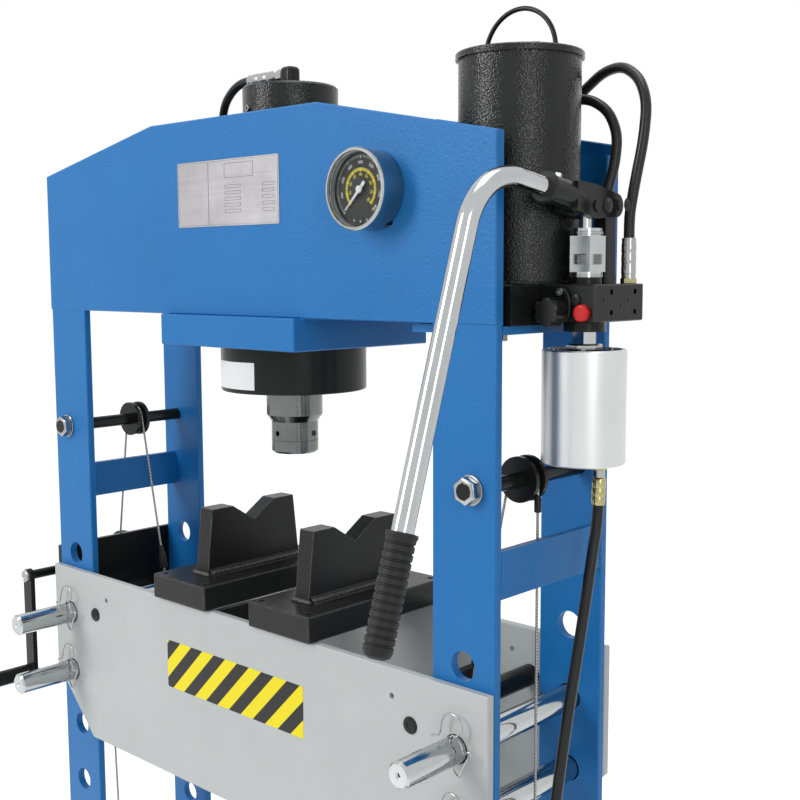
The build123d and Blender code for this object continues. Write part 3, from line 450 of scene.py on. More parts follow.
@dataclass(frozen=True)
class Moulded(Paint):
    """Moulded rubber or plastic with a fine grain and no lightened edges, neither worn nor with a
    painted highlight.
    """

    rough: tuple[float, float] = (0.45, 0.6)
    scale: float = 900.0
    relief: float = 0.15
    dust_colour: Colour = (0.30, 0.29, 0.27)
    gloss: float = 0.28


@dataclass(frozen=True)
class Metal:
    """Bare or plated metal with the lines of its making."""

    name: str
    colour: Colour
    tint: Colour
    rough: tuple[float, float]
    stretch: tuple[float, float, float]
    lines: float = 0.2
    cloud_scale: float = 14.0

    def build(self) -> Material:
        """Build the metal's material."""
        material, sheet, skin = new_material(self.name)
        skin.inputs["Metallic"].default_value = 1.0
        lines = effect(sheet, EFFECTS.lines, stretch=self.stretch, strength=self.lines).outputs
        peel = effect(sheet, EFFECTS.peel, cloud_scale=self.cloud_scale).outputs
        base = sheet.blend(sheet.ramp(peel["Cloud"]), self.colour, self.tint)
        coat(sheet, skin, base, lines["Shade"], self.rough, lines["Normal"])
        return material


@dataclass(frozen=True)
class Stripes:
    """Bands in two colours, on paint or on the strands of a rope."""

    name: str
    first: Colour
    second: Colour
    turn: float
    pitch: float
    sharp: float
    metallic: float = 0.0
    rough: float = 0.4
    gloss: float = 0.3
    relief: float = 0.0
    depth: float = 0.0006

    def build(self) -> Material:
        """Build the banded material."""
        material, sheet, skin = new_material(self.name)
        turned_by = sheet.pattern("Mapping", rotation=(0.0, radians(self.turn), 0.0))
        wave = sheet.add("TexWave", scale=WAVE_SCALE / self.pitch, bands_direction="X")
        sheet.join(turned_by.outputs["Vector"], wave.inputs["Vector"])
        mask = sheet.ramp(wave.outputs["Fac"], low=0.5 - self.sharp, high=0.5 + self.sharp)
        sheet.join(sheet.blend(mask, self.first, self.second), skin.inputs["Base Color"])
        skin.inputs["Metallic"].default_value = self.metallic
        skin.inputs["Roughness"].default_value = self.rough
        skin.inputs["Specular IOR Level"].default_value = self.gloss
        if self.relief:
            bump = sheet.add("Bump", strength=self.relief, distance=self.depth)
            sheet.join(wave.outputs["Fac"], bump.inputs["Height"])
            sheet.join(bump.outputs["Normal"], skin.inputs["Normal"])
        return material


@dataclass(frozen=True)
class ClearGlass:
    """Thin clear glass with a faint smear."""

    name: str
    tint: Colour = (0.98, 1.0, 1.0)
    bending: float = 1.12
    smear_rough: float = 0.04

    def build(self) -> Material:
        """Build the glass."""
        material, sheet, skin = new_material(self.name)
        skin.inputs["Base Color"].default_value = (*self.tint, 1.0)
        skin.inputs["Transmission Weight"].default_value = 1.0
        skin.inputs["IOR"].default_value = self.bending
        smear = effect(sheet, EFFECTS.peel)
        rough = sheet.ramp(smear.outputs["Cloud"], 0.0, self.smear_rough, high=0.8)
        sheet.join(rough, skin.inputs["Roughness"])
        return material


FINISHES: dict[str, Material] = {
    finish.name: finish.build()
    for finish in (
        # The fourth colour of each paint is its edge colour: partly wear and partly a painted
        # highlight.
        Paint("blue_enamel", (0.010, 0.160, 0.440), (0.008, 0.145, 0.405), (0.07, 0.30, 0.60),
              relief=1.0, scale=330.0, edge_reach=0.6, gloss=0.26),
        Paint("blue_floor_enamel", (0.010, 0.160, 0.440), (0.008, 0.145, 0.405),
              (0.07, 0.30, 0.60), relief=0.55, scale=330.0, gloss=0.22, dust=0.35),
        Paint("grey_enamel", (0.49, 0.515, 0.505), (0.455, 0.48, 0.47), (0.62, 0.64, 0.63),
              rough=(0.38, 0.5), scale=420.0, relief=0.12),
        Paint("hammered_black", (0.009, 0.010, 0.009), (0.014, 0.015, 0.014),
              (0.06, 0.06, 0.058), rough=(0.15, 0.22), scale=480.0, relief=0.42,
              gloss=0.3, hammered=True),
        Paint("satin_black", (0.008, 0.009, 0.008), (0.013, 0.014, 0.013),
              (0.09, 0.09, 0.085), rough=(0.2, 0.28), relief=0.2,
              edge_reach=0.8, edge_radius=0.0012, gloss=0.2),
        Paint("vee_black", (0.010, 0.010, 0.010), (0.017, 0.017, 0.016), (0.16, 0.16, 0.155),
              rough=(0.26, 0.36), relief=0.22, edge_reach=1.0,
              edge_radius=0.0026, gloss=0.22),
        Paint("weld_black", (0.02, 0.02, 0.019), (0.05, 0.049, 0.046), (0.22, 0.21, 0.19),
              rough=(0.3, 0.5), scale=700.0, relief=0.6, edge_reach=0.8),
        Metal("bright_chrome", (0.52, 0.54, 0.54), (0.44, 0.46, 0.46), rough=(0.09, 0.16),
              stretch=(30.0, 30.0, 30.0), lines=0.06),
        Metal("turned_steel", (0.20, 0.21, 0.205), (0.13, 0.14, 0.135), rough=(0.10, 0.22),
              stretch=(4.0, 4.0, 1500.0), lines=0.3),
        Metal("zinc_plate", (0.43, 0.44, 0.43), (0.34, 0.35, 0.345), rough=(0.14, 0.26),
              stretch=(160.0, 160.0, 160.0), lines=0.2),
        Metal("yellow_zinc", (0.46, 0.41, 0.20), (0.38, 0.34, 0.17), rough=(0.2, 0.34),
              stretch=(200.0, 200.0, 200.0), lines=0.2),
        Metal("satin_aluminium", (0.66, 0.68, 0.67), (0.61, 0.63, 0.62), rough=(0.3, 0.4),
              stretch=(900.0, 900.0, 3.0), lines=0.2),
        Metal("plate_aluminium", (0.46, 0.45, 0.46), (0.36, 0.35, 0.36), rough=(0.28, 0.42),
              stretch=(6.0, 6.0, 900.0), lines=0.2),
        Moulded("hose_rubber", (0.010, 0.011, 0.010), (0.015, 0.016, 0.015),
                rough=(0.24, 0.36), dust=0.1),
        Moulded("grip_rubber", (0.011, 0.011, 0.011), (0.016, 0.016, 0.016)),
        Moulded("knob_plastic", (0.010, 0.010, 0.010), (0.014, 0.014, 0.014),
                rough=(0.2, 0.32), relief=0.05),
        Moulded("red_cap", (0.62, 0.016, 0.016), (0.52, 0.012, 0.012), rough=(0.2, 0.34),
                relief=0.08),
        Moulded("dial_black", (0.013, 0.013, 0.013), (0.017, 0.017, 0.017),
                rough=(0.4, 0.5), relief=0.03),
        Moulded("dial_white", (0.62, 0.63, 0.63), (0.56, 0.57, 0.57), relief=0.03),
        Moulded("dial_grey", (0.25, 0.26, 0.26), (0.20, 0.21, 0.21), relief=0.03),
        Moulded("dial_yellow", (0.74, 0.60, 0.03), (0.66, 0.54, 0.03), relief=0.03),
        Moulded("label_white", (0.78, 0.79, 0.79), (0.72, 0.73, 0.73), rough=(0.25, 0.35),
                relief=0.05),
        Moulded("print_dark", (0.08, 0.08, 0.085), (0.10, 0.10, 0.105), relief=0.03),
        Moulded("print_grey", (0.10, 0.10, 0.11), (0.13, 0.13, 0.14), relief=0.03),
        Moulded("pedal_rubber", (0.016, 0.016, 0.016), (0.024, 0.024, 0.023), dust=0.4,
                relief=0.3, scale=600.0),
        Stripes("hazard_stripes", (0.86, 0.72, 0.005), (0.010, 0.010, 0.010),
                turn=-45, pitch=0.038, sharp=0.02),
        Stripes("rope_strands", (0.42, 0.42, 0.40), (0.20, 0.20, 0.19),
                turn=40, pitch=0.0026, sharp=0.4, metallic=1.0, rough=0.35,
                relief=0.8),
        ClearGlass("gauge_glass"),
    )
}

NODE_FINISH: dict[str, Sequence[str]] = {
    "blue_enamel": (
        "column_front_left", "column_front_right", "column_rear_left", "column_rear_right",
        "head_front_plate", "head_rear_plate", "head_ribs", "ram_seat", "pump_shelf",
        "side_braces",
    ),
    "blue_floor_enamel": ("floor_frame",),
    "grey_enamel": ("bed_front_beam", "bed_rear_beam"),
    "satin_black": (
        "collar_ring", "rod_gland", "tank_loop", "pump_base", "pump_block", "fulcrum_link",
        "lever_fork", "lever_pins", "pulley_axles", "lift_pulleys", "winch_body", "winch_crank",
        "pedal_base", "bed_cross_bars",
    ),
    "hammered_black": ("cylinder_barrel", "tank_shell", "tank_lid"),
    "vee_black": ("vee_block_left", "vee_block_right"),
    "bright_chrome": (
        "bed_pin_upper_left", "bed_pin_lower_left", "bed_pin_upper_right",
        "bed_pin_lower_right", "handle_tube", "motor_neck", "pump_gland", "pump_plunger",
    ),
    "turned_steel": ("ram_rod", "ram_nose"),
    "zinc_plate": ("gauge_case", "hose_fittings", "return_spring"),
    "satin_aluminium": ("motor_shell",),
    "hose_rubber": ("piston_seal", "hose_pressure", "hose_gauge", "air_hose"),
    "grip_rubber": ("handle_grip",),
    "rope_strands": ("lift_rope_left", "lift_rope_right"),
    "dial_black": ("gauge_dial", "top_elbow"),
    "dial_white": ("gauge_needle",),
    "gauge_glass": ("gauge_glass",),
    "knob_plastic": ("release_knob",),
    "pedal_rubber": ("pedal_treadle",),
    "red_cap": ("relief_cap",),
}


# The bench: short calls that shape pieces as by hand


def lay_down_tools() -> None:
    """Leave edit mode and deselect everything."""
    if bpy.context.object and bpy.context.object.mode != "OBJECT":
        bpy.ops.object.mode_set(mode="OBJECT")
    bpy.ops.object.select_all(action="DESELECT")


def pick_up(piece: Piece) -> None:
    """Select one piece alone and make it active."""
    lay_down_tools()
    piece.select_set(True)
    bpy.context.view_layer.objects.active = piece


def named(name: str) -> Piece:
    """Name the piece that an operator has just made."""
    piece = bpy.context.object
    piece.name = piece.data.name = name
    return piece


def set_in_mesh(piece: Piece, place: Matrix | None = None) -> None:
    """Put the piece's place, turn and size into its mesh.

    Args:
        piece: The piece.
        place: Its new place, turn and size, if they change.
    """
    pick_up(piece)
    if place is not None:
        piece.matrix_world = place
    bpy.ops.object.transform_apply(location=True, rotation=True, scale=True)


def smooth_below(piece: Piece, degrees: float = 35.0) -> None:
    """Shade smooth across edges flatter than an angle."""
    pick_up(piece)
    bpy.ops.object.shade_smooth_by_angle(angle=radians(degrees))


def mend_normals(piece: Piece) -> None:
    """Merge doubles and turn all faces outwards."""
    pick_up(piece)
    bpy.ops.object.mode_set(mode="EDIT")
    bpy.ops.mesh.select_all(action="SELECT")
    bpy.ops.mesh.remove_doubles(threshold=0.00001)
    bpy.ops.mesh.normals_make_consistent(inside=False)
    bpy.ops.object.mode_set(mode="OBJECT")


def reshape(piece: Piece, kind: str, **values: object) -> None:
    """Add a modifier with its settings and apply it."""
    pick_up(piece)
    modifier = piece.modifiers.new("shape", kind)
    for name, value in values.items():
        setattr(modifier, name, value)
    bpy.ops.object.modifier_apply(modifier=modifier.name)


def soften(piece: Piece, width: float, segments: int = 2) -> None:
    """Round the piece's sharp edges by a width, with a number of faces across."""
    reshape(piece, "BEVEL", width=width, segments=segments, limit_method="ANGLE",
            angle_limit=radians(30))


def turned(
    name: str, profile: Profile, place: Point, facing: Facing | Point, sides: int = 48,
    spin: float = 0.0,
) -> Piece:
    """Turn a round or many-sided piece by extruding rings along its axis.

    Args:
        name: Name of the piece.
        profile: Radius and height of each ring, from its back to its front.
        place: Point where height is 0.
        facing: Direction of growing height.
        sides: Number of sides.
        spin: Turn about the axis, in degrees.

    Returns:
        The piece, with its place in its mesh.
    """
    lay_down_tools()
    radius, height = profile[0]
    bpy.ops.mesh.primitive_circle_add(
        vertices=sides, radius=radius, fill_type="NGON", location=(0, 0, height)
    )
    piece = named(name)
    bpy.ops.object.transform_apply(location=True, rotation=True, scale=True)
    bpy.ops.object.mode_set(mode="EDIT")
    bpy.ops.mesh.select_mode(type="FACE")
    bpy.ops.mesh.select_all(action="SELECT")
    for next_radius, next_height in profile[1:]:
        bpy.ops.mesh.extrude_region_move(
            TRANSFORM_OT_translate={"value": (0, 0, next_height - height)}
        )
        grow = next_radius / radius
        bpy.ops.transform.resize(value=(grow, grow, 1), center_override=(0, 0, next_height))
        radius, height = next_radius, next_height
    bpy.ops.object.mode_set(mode="OBJECT")
    way = Vector(facing.value if isinstance(facing, Facing) else facing).normalized()
    swing = way.to_track_quat("Z", "Y").to_matrix().to_4x4()
    set_in_mesh(piece, Matrix.Translation(place) @ swing
                @ Matrix.Rotation(radians(spin), 4, "Z"))
    mend_normals(piece)
    smooth_below(piece)
    return piece


def cut_bar(
    name: str, size: Point, place: Point, bevel: float, turn: Matrix | None = None,
    segments: int = 2,
) -> Piece:
    """Cut a bar or plate and round its edges.

    Args:
        name: Name of the piece.
        size: Its size along X, Y and Z.
        place: Its centre.
        bevel: Width of the rounded edges.
        turn: Turn about its centre, if any.
        segments: Number of faces across each rounded edge.

    Returns:
        The piece, with its place in its mesh.
    """
    lay_down_tools()
    bpy.ops.mesh.primitive_cube_add(size=1.0)
    piece = named(name)
    set_in_mesh(piece, Matrix.Diagonal((*size, 1)))
    soften(piece, bevel, segments)
    set_in_mesh(piece, Matrix.Translation(place) @ (turn.to_4x4() if turn else Matrix()))
    smooth_below(piece)
    return piece


def sheet_of(name: str, width: float, height: float) -> Piece:
    """Cut a flat sheet and leave it selected in edit mode, face by face."""
    lay_down_tools()
    bpy.ops.mesh.primitive_plane_add(size=1.0)
    piece = named(name)
    set_in_mesh(piece, Matrix.Diagonal((width, height, 1, 1)))
    bpy.ops.object.mode_set(mode="EDIT")
    bpy.ops.mesh.select_mode(type="FACE")
    bpy.ops.mesh.select_all(action="SELECT")
    return piece


def raise_sheet(piece: Piece, thick: float, place: Point) -> None:
    """Thicken a sheet that is being edited and stand it up to face the front.

    Args:
        piece: The sheet.
        thick: Its thickness.
        place: Centre of its back face.
    """
    bpy.ops.mesh.select_all(action="SELECT")
    bpy.ops.mesh.extrude_region_move(TRANSFORM_OT_translate={"value": (0, 0, thick)})
    bpy.ops.object.mode_set(mode="OBJECT")
    set_in_mesh(piece, Matrix.Translation(place) @ TO_FRONT)
    mend_normals(piece)


def card(
    name: str, width: float, height: float, place: Point, thick: float, corner: float
) -> Piece:
    """Make a thin plate with rounded corners that faces the front.

    Args:
        name: Name of the piece.
        width: Its width along X.
        height: Its height along Z.
        place: Centre of its back face.
        thick: Its thickness.
        corner: Radius of its corners.

    Returns:
        The piece, with its place in its mesh.
    """
    piece = sheet_of(name, width, height)
    bpy.ops.mesh.bevel(offset=corner, segments=4, affect="VERTICES")
    raise_sheet(piece, thick, place)
    smooth_below(piece)
    return piece


def line_through(
    name: str, points: Sequence[Point], swell: Sequence[float] | None = None,
    closed: bool = False, fineness: int = 6,
) -> Piece:
    """Lay a smooth NURBS line.

    Args:
        name: Name of the line.
        points: Its control points.
        swell: Factor on the thickness at each point.
        closed: Join its ends.
        fineness: Number of steps from point to point.

    Returns:
        The line.
    """
    lay_down_tools()
    curve = bpy.data.curves.new(name, "CURVE")
    curve.dimensions = "3D"
    curve.resolution_u = fineness
    spline = curve.splines.new("NURBS")
    spline.points.add(len(points) - 1)
    for index, (knot, point) in enumerate(zip(spline.points, points)):
        knot.co = (*point, 1.0)
        knot.radius = swell[index] if swell else 1.0
    spline.order_u = 3
    spline.use_cyclic_u = closed
    spline.use_endpoint_u = not closed
    line = bpy.data.objects.new(name, curve)
    bpy.context.collection.objects.link(line)
    return line


def thicken(line: Piece, diameter: float, rounds: int = 3) -> Piece:
    """Give a line a round section and turn it into a mesh.

    Args:
        line: The line.
        diameter: Diameter of its section.
        rounds: Fineness of its section.

    Returns:
        The piece.
    """
    line.data.bevel_depth = diameter / 2
    line.data.bevel_resolution = rounds
    line.data.use_fill_caps = True
    pick_up(line)
    bpy.ops.object.convert(target="MESH")
    smooth_below(bpy.context.object, 50)
    return bpy.context.object


def winding(centre: Point, radius: float, axis: str, length: float, turns: int) -> list[Point]:
    """Give the points of a winding that starts at its centre point.

    Args:
        centre: Start of its axis.
        radius: Radius of its middle line.
        axis: Y or Z.
        length: Length along the axis.
        turns: Number of turns.

    Returns:
        Its points.
    """
    steps, points = 16, []
    for step in range(turns * steps + 1):
        way = 2 * pi * step / steps
        across, along = radius * cos(way), length * step / (turns * steps)
        side = radius * sin(way)
        offset = (across, along, side) if axis == "Y" else (across, side, along)
        points.append(tuple(base + move for base, move in zip(centre, offset)))
    return points


def weld_bead(start: Point, end: Point, width: float, seed: int, pitch: float = 0.4) -> Piece:
    """Lay a rippled weld bead along a straight joint.

    Args:
        start: One end of the bead.
        end: The other end.
        width: Mean width of the bead.
        seed: Number that fixes its ripples.
        pitch: Length of a ripple over the bead's width.

    Returns:
        The bead.
    """
    chance = Random(seed)
    first, last = Vector(start), Vector(end)
    count = max(6, int((last - first).length / (width * pitch)))
    points, swell = [], []
    for step in range(count + 1):
        spot = first.lerp(last, step / count)
        wander = Vector([chance.uniform(-0.05, 0.05) * width for _ in range(3)])
        points.append(tuple(spot + wander))
        swell.append((0.86 if step % 2 else 1.1) * chance.uniform(0.9, 1.1))
    swell[0] = swell[-1] = 0.55
    return thicken(line_through("bead", points, swell), width)


def gather(name: str, pieces: Sequence[Piece]) -> Piece:
    """Join pieces of one finish into one.

    Args:
        name: Name of the joined piece.
        pieces: The pieces to join.

    Returns:
        The joined piece.
    """
    lay_down_tools()
    for piece in pieces:
        piece.select_set(True)
    bpy.context.view_layer.objects.active = pieces[0]
    if len(pieces) > 1:
        bpy.ops.object.join()
    return named(name)


def dress(piece: Piece, finish: str, body: Body = Body.FRAME) -> Piece:
    """Give a piece its finish and the body that it rides on.

    Args:
        piece: The piece.
        finish: Name of the finish.
        body: The body that carries it.

    Returns:
        The same piece.
    """
    piece.data.materials.clear()
    piece.data.materials.append(FINISHES[finish])
    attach(piece, body.value)
    log.info("%s rides on %s", piece.name, body.value)
    return piece


def hex_head(
    name: str, across: float, height: float, place: Point, facing: Facing | Point, spin: float = 0
) -> Piece:
    """Make a hexagon nut or bolt head with its corners turned down.

    Args:
        name: Name of the piece.
        across: Width across its flats.
        height: Its height.
        place: Centre of its seat.
        facing: Direction in which it stands up.
        spin: Turn about its axis, in degrees.

    Returns:
        The head.
    """
    radius, lip = across / sqrt(3), across * 0.07
    profile = [(radius * 0.93, 0.0), (radius, lip * 0.6), (radius, height - lip * 0.6),
               (radius * 0.88, height), (radius * 0.62, height),
               (radius * 0.58, height - lip * 0.5)]
    piece = turned(name, profile, place, facing, sides=6, spin=spin)
    soften(piece, across * 0.015, 1)
    return piece


def socket_screw(
    name: str, diameter: float, height: float, place: Point, facing: Facing | Point
) -> Piece:
    """Make a round screw head with a hexagon socket.

    Args:
        name: Name of the piece.
        diameter: Diameter of the head.
        height: Height of the head.
        place: Centre of its seat.
        facing: Direction in which it stands up.

    Returns:
        The head with its socket.
    """
    radius = diameter / 2
    profile = [(radius, 0.0), (radius, height * 0.85), (radius * 0.9, height),
               (radius * 0.56, height), (radius * 0.5, height * 0.45)]
    return turned(name, profile, place, facing, sides=24)


# Sub-assemblies


@dataclass
class Scenery:
    """Floor, backdrop, lamps and camera."""

    eye: Point = (1.2968, -1.1690, 1.5844)
    yaw: float = 42.776
    pitch: float = 6.326
    roll: float = -0.223
    lens: float = 52.49
    floor_size: float = 30.0
    floor_tones: tuple[Colour, Colour] = ((0.86, 0.86, 0.86), (0.84, 0.84, 0.84))
    floor_glow: float = 0.55
    room_light: float = 0.50
    # Name, place, size, power and aim of each lamp
    lamps: tuple = (
        ("key", (-1.6, -3.4, 3.2), (1.2, 2.6), 98.0, (0.0, 0.0, 1.3)),
        ("fill", (3.0, -1.6, 2.4), (0.7, 2.2), 20.0, (0.3, 0.0, 1.4)),
        ("top", (0.4, 0.2, 4.2), (1.6, 1.6), 30.0, (0.1, 0.0, 1.0)),
    )

    def build(self) -> None:
        """Set the camera, the floor, the lamps and the world."""
        self._camera()
        self._floor()
        self._world()
        self._lamps()

    def _camera(self) -> None:
        """Place the camera at the photograph's viewpoint."""
        yaw, pitch, roll = (radians(a) for a in (self.yaw, self.pitch, self.roll))
        right = Vector((cos(yaw), sin(yaw), 0.0))
        ahead = Vector((-sin(yaw) * cos(pitch), cos(yaw) * cos(pitch), -sin(pitch)))
        above = right.cross(ahead)
        side = right * cos(roll) + above * sin(roll)
        top = above * cos(roll) - right * sin(roll)
        data = bpy.data.cameras.new("camera")
        data.lens = self.lens
        data.sensor_width = 36.0
        data.clip_start = 0.05
        camera = bpy.data.objects.new("camera", data)
        turn = Matrix((side, top, -ahead)).transposed().to_4x4()
        camera.matrix_world = Matrix.Translation(self.eye) @ turn
        bpy.context.collection.objects.link(camera)
        bpy.context.scene.camera = camera

    def _floor(self) -> None:
        """Lay the pale floor that keeps the press's shadow."""
        lay_down_tools()
        bpy.ops.mesh.primitive_plane_add(size=self.floor_size, location=(0, 0, -0.0005))
        floor = bpy.context.object
        floor.name = "floor"
        set_in_mesh(floor)
        material, sheet, skin = new_material("pale_floor")
        grain = effect(sheet, EFFECTS.peel)
        tone = sheet.blend(sheet.ramp(grain.outputs["Cloud"]), *self.floor_tones)
        sheet.join(tone, skin.inputs["Base Color"])
        skin.inputs["Roughness"].default_value = 0.6
        glow = sheet.add("Emission", color=(1.0, 1.0, 1.0, 1.0), strength=self.floor_glow)
        both = sheet.add("AddShader")
        sheet.join(skin.outputs[0], both.inputs[0])
        sheet.join(glow.outputs[0], both.inputs[1])
        sheet.mix(seen_or_reflected(sheet), skin.outputs[0], both.outputs[0],
                  sheet.tree.nodes["Material Output"].inputs["Surface"])
        floor.data.materials.append(material)

    def _world(self) -> None:
        """Fill the room with plain soft light and a white backdrop."""
        world = bpy.data.worlds.new("studio")
        bpy.context.scene.world = world
        world.use_nodes = True
        sheet = NodeSheet(world.node_tree)
        soft = world.node_tree.nodes["Background"]
        soft.inputs["Color"].default_value = (0.95, 0.97, 1.0, 1.0)
        soft.inputs["Strength"].default_value = self.room_light
        white = sheet.add("Background", color=(1.0, 1.0, 1.0, 1.0), strength=1.0)
        sheet.mix(seen_or_reflected(sheet), soft.outputs[0], white.outputs[0],
                  world.node_tree.nodes["World Output"].inputs["Surface"])

    def _lamps(self) -> None:
        """Hang the soft lamps."""
        for name, place, size, power, aim in self.lamps:
            data = bpy.data.lights.new(name, "AREA")
            data.shape = "RECTANGLE"
            data.size, data.size_y = size
            data.energy = power
            lamp = bpy.data.objects.new(name, data)
            turn = (Vector(aim) - Vector(place)).to_track_quat("-Z", "Y").to_matrix().to_4x4()
            lamp.matrix_world = Matrix.Translation(place) @ turn
            bpy.context.collection.objects.link(lamp)


@dataclass
class HoseTrim:
    """Air hose down to the pedal, with its ends."""

    diameter: float = 0.014
    exit: Point = (0.521, 0.027, 1.328)
    way_down: tuple[Point, ...] = (
        (0.521, 0.027, 1.288), (0.520, 0.012, 1.222), (0.519, -0.006, 1.140),
        (0.518, -0.030, 1.045), (0.518, -0.055, 0.935), (0.518, -0.082, 0.800),
        (0.521, -0.106, 0.650), (0.526, -0.128, 0.500), (0.531, -0.152, 0.360),
        (0.535, -0.180, 0.232), (0.538, -0.214, 0.128), (0.540, -0.258, 0.054),
        (0.540, -0.312, 0.020), (0.540, -0.350, 0.015), (0.540, -0.374, 0.015),
    )
    sleeve: Profile = (
        (0.0072, -0.004), (0.0084, -0.002), (0.0084, 0.008), (0.0079, 0.009), (0.0084, 0.0105),
        (0.0084, 0.018), (0.0079, 0.0195), (0.0084, 0.021), (0.0084, 0.028), (0.0076, 0.030),
        (0.0070, 0.030),
    )
    relief: Profile = ((0.0105, 0.0), (0.0105, 0.012), (0.0092, 0.02), (0.0078, 0.034))

    def build(self) -> None:
        """Lay the air hose and fit its ends."""
        line = line_through("air_line", (self.exit, *self.way_down), fineness=10)
        bpy.context.view_layer.update()
        path = [vertex.co.copy() for vertex in bpy.data.meshes.new_from_object(line).vertices]
        hose = dress(thicken(line, self.diameter, 5), "hose_rubber")
        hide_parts("air_hose")
        sleeve = turned("air_sleeve_top", self.sleeve, (0.521, 0.027, 1.329), (0, -0.06, -1), 32)
        dress(sleeve, "yellow_zinc")
        relief = turned("air_relief_low", self.relief, (0.540, -0.376, 0.015), Facing.REAR, 32)
        dress(relief, "hose_rubber")
        nut = hex_head("air_nut", 0.017, 0.010, (0.521, 0.027, 1.352), Facing.DOWN)
        dress(nut, "yellow_zinc")


@dataclass
class HeadTrim:
    """Blank plate on the head, and the weld beads of the frame."""

    plate_centre: Point = (-0.0025, -0.120, 1.694)
    plate_w: float = 0.222
    plate_h: float = 0.0925
    plate_t: float = 0.001
    print_t: float = 0.0002
    panel_x: float = -0.042
    rows: int = 5
    row_pitch: float = 0.0085
    row_fields: tuple[tuple[float, float], ...] = ((0.012, 0.034), (0.087, 0.024))
    head_x: float = 0.475
    brace_ends: tuple[tuple[float, float], ...] = (
        (0.4735, 1.227), (-0.4565, 1.227), (0.4735, 0.530), (-0.4565, 0.530)
    )
    brace_y: float = 0.1055
    seat_x: float = 0.1465

    def build(self) -> None:
        """Fix the plate with its blank fields and lay the beads."""
        plate = card("head_plate", self.plate_w, self.plate_h, self.plate_centre,
                     self.plate_t, 0.0025)
        soften(plate, 0.0003, 1)
        dress(plate, "plate_aluminium")
        dress(self._fields(), "print_grey")
        self._beads()

    def _field(
        self, width: float, height: float, x: float, rise: float, line: float = 0.0005
    ) -> Piece:
        """Print the outline of one blank field.

        Args:
            width: Its width.
            height: Its height.
            x: Its centre along X.
            rise: Height of its centre over the plate's.
            line: Width of the printed line.

        Returns:
            The outline.
        """
        piece = sheet_of("plate_field", width, height)
        bpy.ops.mesh.inset(thickness=line, depth=0.0)
        bpy.ops.mesh.delete(type="FACE")
        _, y, z = self.plate_centre
        raise_sheet(piece, self.print_t, (x, y - self.plate_t + 0.00002, z + rise))
        return piece

    def _fields(self) -> Piece:
        """Print the plate's border, its divider and its rows of blank fields."""
        pieces = [
            self._field(self.plate_w - 0.004, self.plate_h - 0.004, self.plate_centre[0], 0.0,
                        0.0003),
            self._field(0.0006, self.plate_h - 0.006, self.panel_x, 0.0, 0.00025),
            self._field(0.062, 0.020, 0.025, 0.030),
        ]
        for row in range(self.rows):
            pieces += [self._field(width, 0.0045, x, 0.008 - self.row_pitch * row, 0.0004)
                       for x, width in self.row_fields]
        return gather("plate_fields", pieces)

    def _beads(self) -> None:
        """Lay the frame's weld beads."""
        beads = []
        for seed, x in enumerate((self.head_x, -self.head_x)):
            beads.append(weld_bead((x * 0.998, 0.118, 1.53), (x * 0.998, 0.118, 1.70),
                                   0.006, seed))
        for seed, (x, z) in enumerate(self.brace_ends, 7):
            for y in (-self.brace_y, self.brace_y):
                beads.append(weld_bead((x, y, z - 0.028), (x, y, z + 0.028), 0.0055, seed))
        for seed, x in enumerate((self.seat_x, -self.seat_x), 20):
            beads.append(weld_bead((x, -0.119, 1.5215), (x, 0.119, 1.5215), 0.006, seed))
        dress(gather("frame_beads", beads), "blue_enamel")


@dataclass
class RamTrim:
    """Blank label on the lock ring, and the wiper, seam, screws and spring of the ram."""

    ring_r: float = 0.108
    label_turn: tuple[float, float] = (-125.5, -73.5)
    label_z: tuple[float, float] = (1.4165, 1.4555)
    label_t: float = 0.0004
    spring_turns: int = 8
    spring_wire: float = 0.008
    travel: float = 0.2
    wiper: Profile = ((0.0425, 0.0), (0.050, 0.0), (0.050, 0.003), (0.0475, 0.0042),
                      (0.0440, 0.0042), (0.0425, 0.002))
    seam: Profile = ((0.0349, 0.0), (0.03515, 0.0002), (0.03515, 0.0008), (0.0349, 0.001))

    def build(self) -> None:
        """Fit the pieces of the ram and its ring."""
        dress(self._label(), "label_white")
        wiper = turned("rod_wiper", self.wiper, (0, 0, 1.4105), Facing.DOWN, 64)
        dress(wiper, "grip_rubber")
        seam = turned("nose_seam", self.seam, (0, 0, 1.3335), Facing.UP, 64)
        dress(seam, "print_dark", Body.RAM)
        grub = socket_screw("nose_grub", 0.0085, 0.0012, (0.0343, 0.0070, 1.3445), (1, 0.2, 0))
        dress(grub, "satin_black", Body.RAM)
        self._spring()
        plug = socket_screw("barrel_plug", 0.009, 0.003, (-0.0138, -0.0682, 1.8153), (-0.2, -1, 0))
        dress(plug, "zinc_plate")

    def _spring(self) -> None:
        """Wind the return spring in the CAD spring's place and hide that; the piston squeezes the
        real spring on its way down, but this one keeps its length.
        """
        low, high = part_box("return_spring")
        height = high.z - low.z
        points = winding((0, 0, low.z + self.spring_wire / 2),
                         (high.x - low.x - self.spring_wire) / 2, "Z",
                         height - self.spring_wire, self.spring_turns)
        spring = thicken(line_through("ram_spring", points), self.spring_wire, 2)
        dress(spring, "zinc_plate")
        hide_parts("return_spring")
        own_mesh(spring)

    def _label(self) -> Piece:
        """Wrap a blank label round the lock ring."""
        lay_down_tools()
        bpy.ops.mesh.primitive_grid_add(x_subdivisions=24, y_subdivisions=4, size=2.0)
        piece = named("ring_label")
        start, stop = (radians(turn) for turn in self.label_turn)
        low, high = self.label_z
        radius = self.ring_r + self.label_t / 2
        for vertex in piece.data.vertices:
            across, up, _ = vertex.co
            turn = start + (stop - start) * (across + 1) / 2
            vertex.co = (radius * cos(turn), radius * sin(turn), low + (high - low) * (up + 1) / 2)
        reshape(piece, "SOLIDIFY", thickness=self.label_t, offset=0.0)
        mend_normals(piece)
        smooth_below(piece)
        return piece


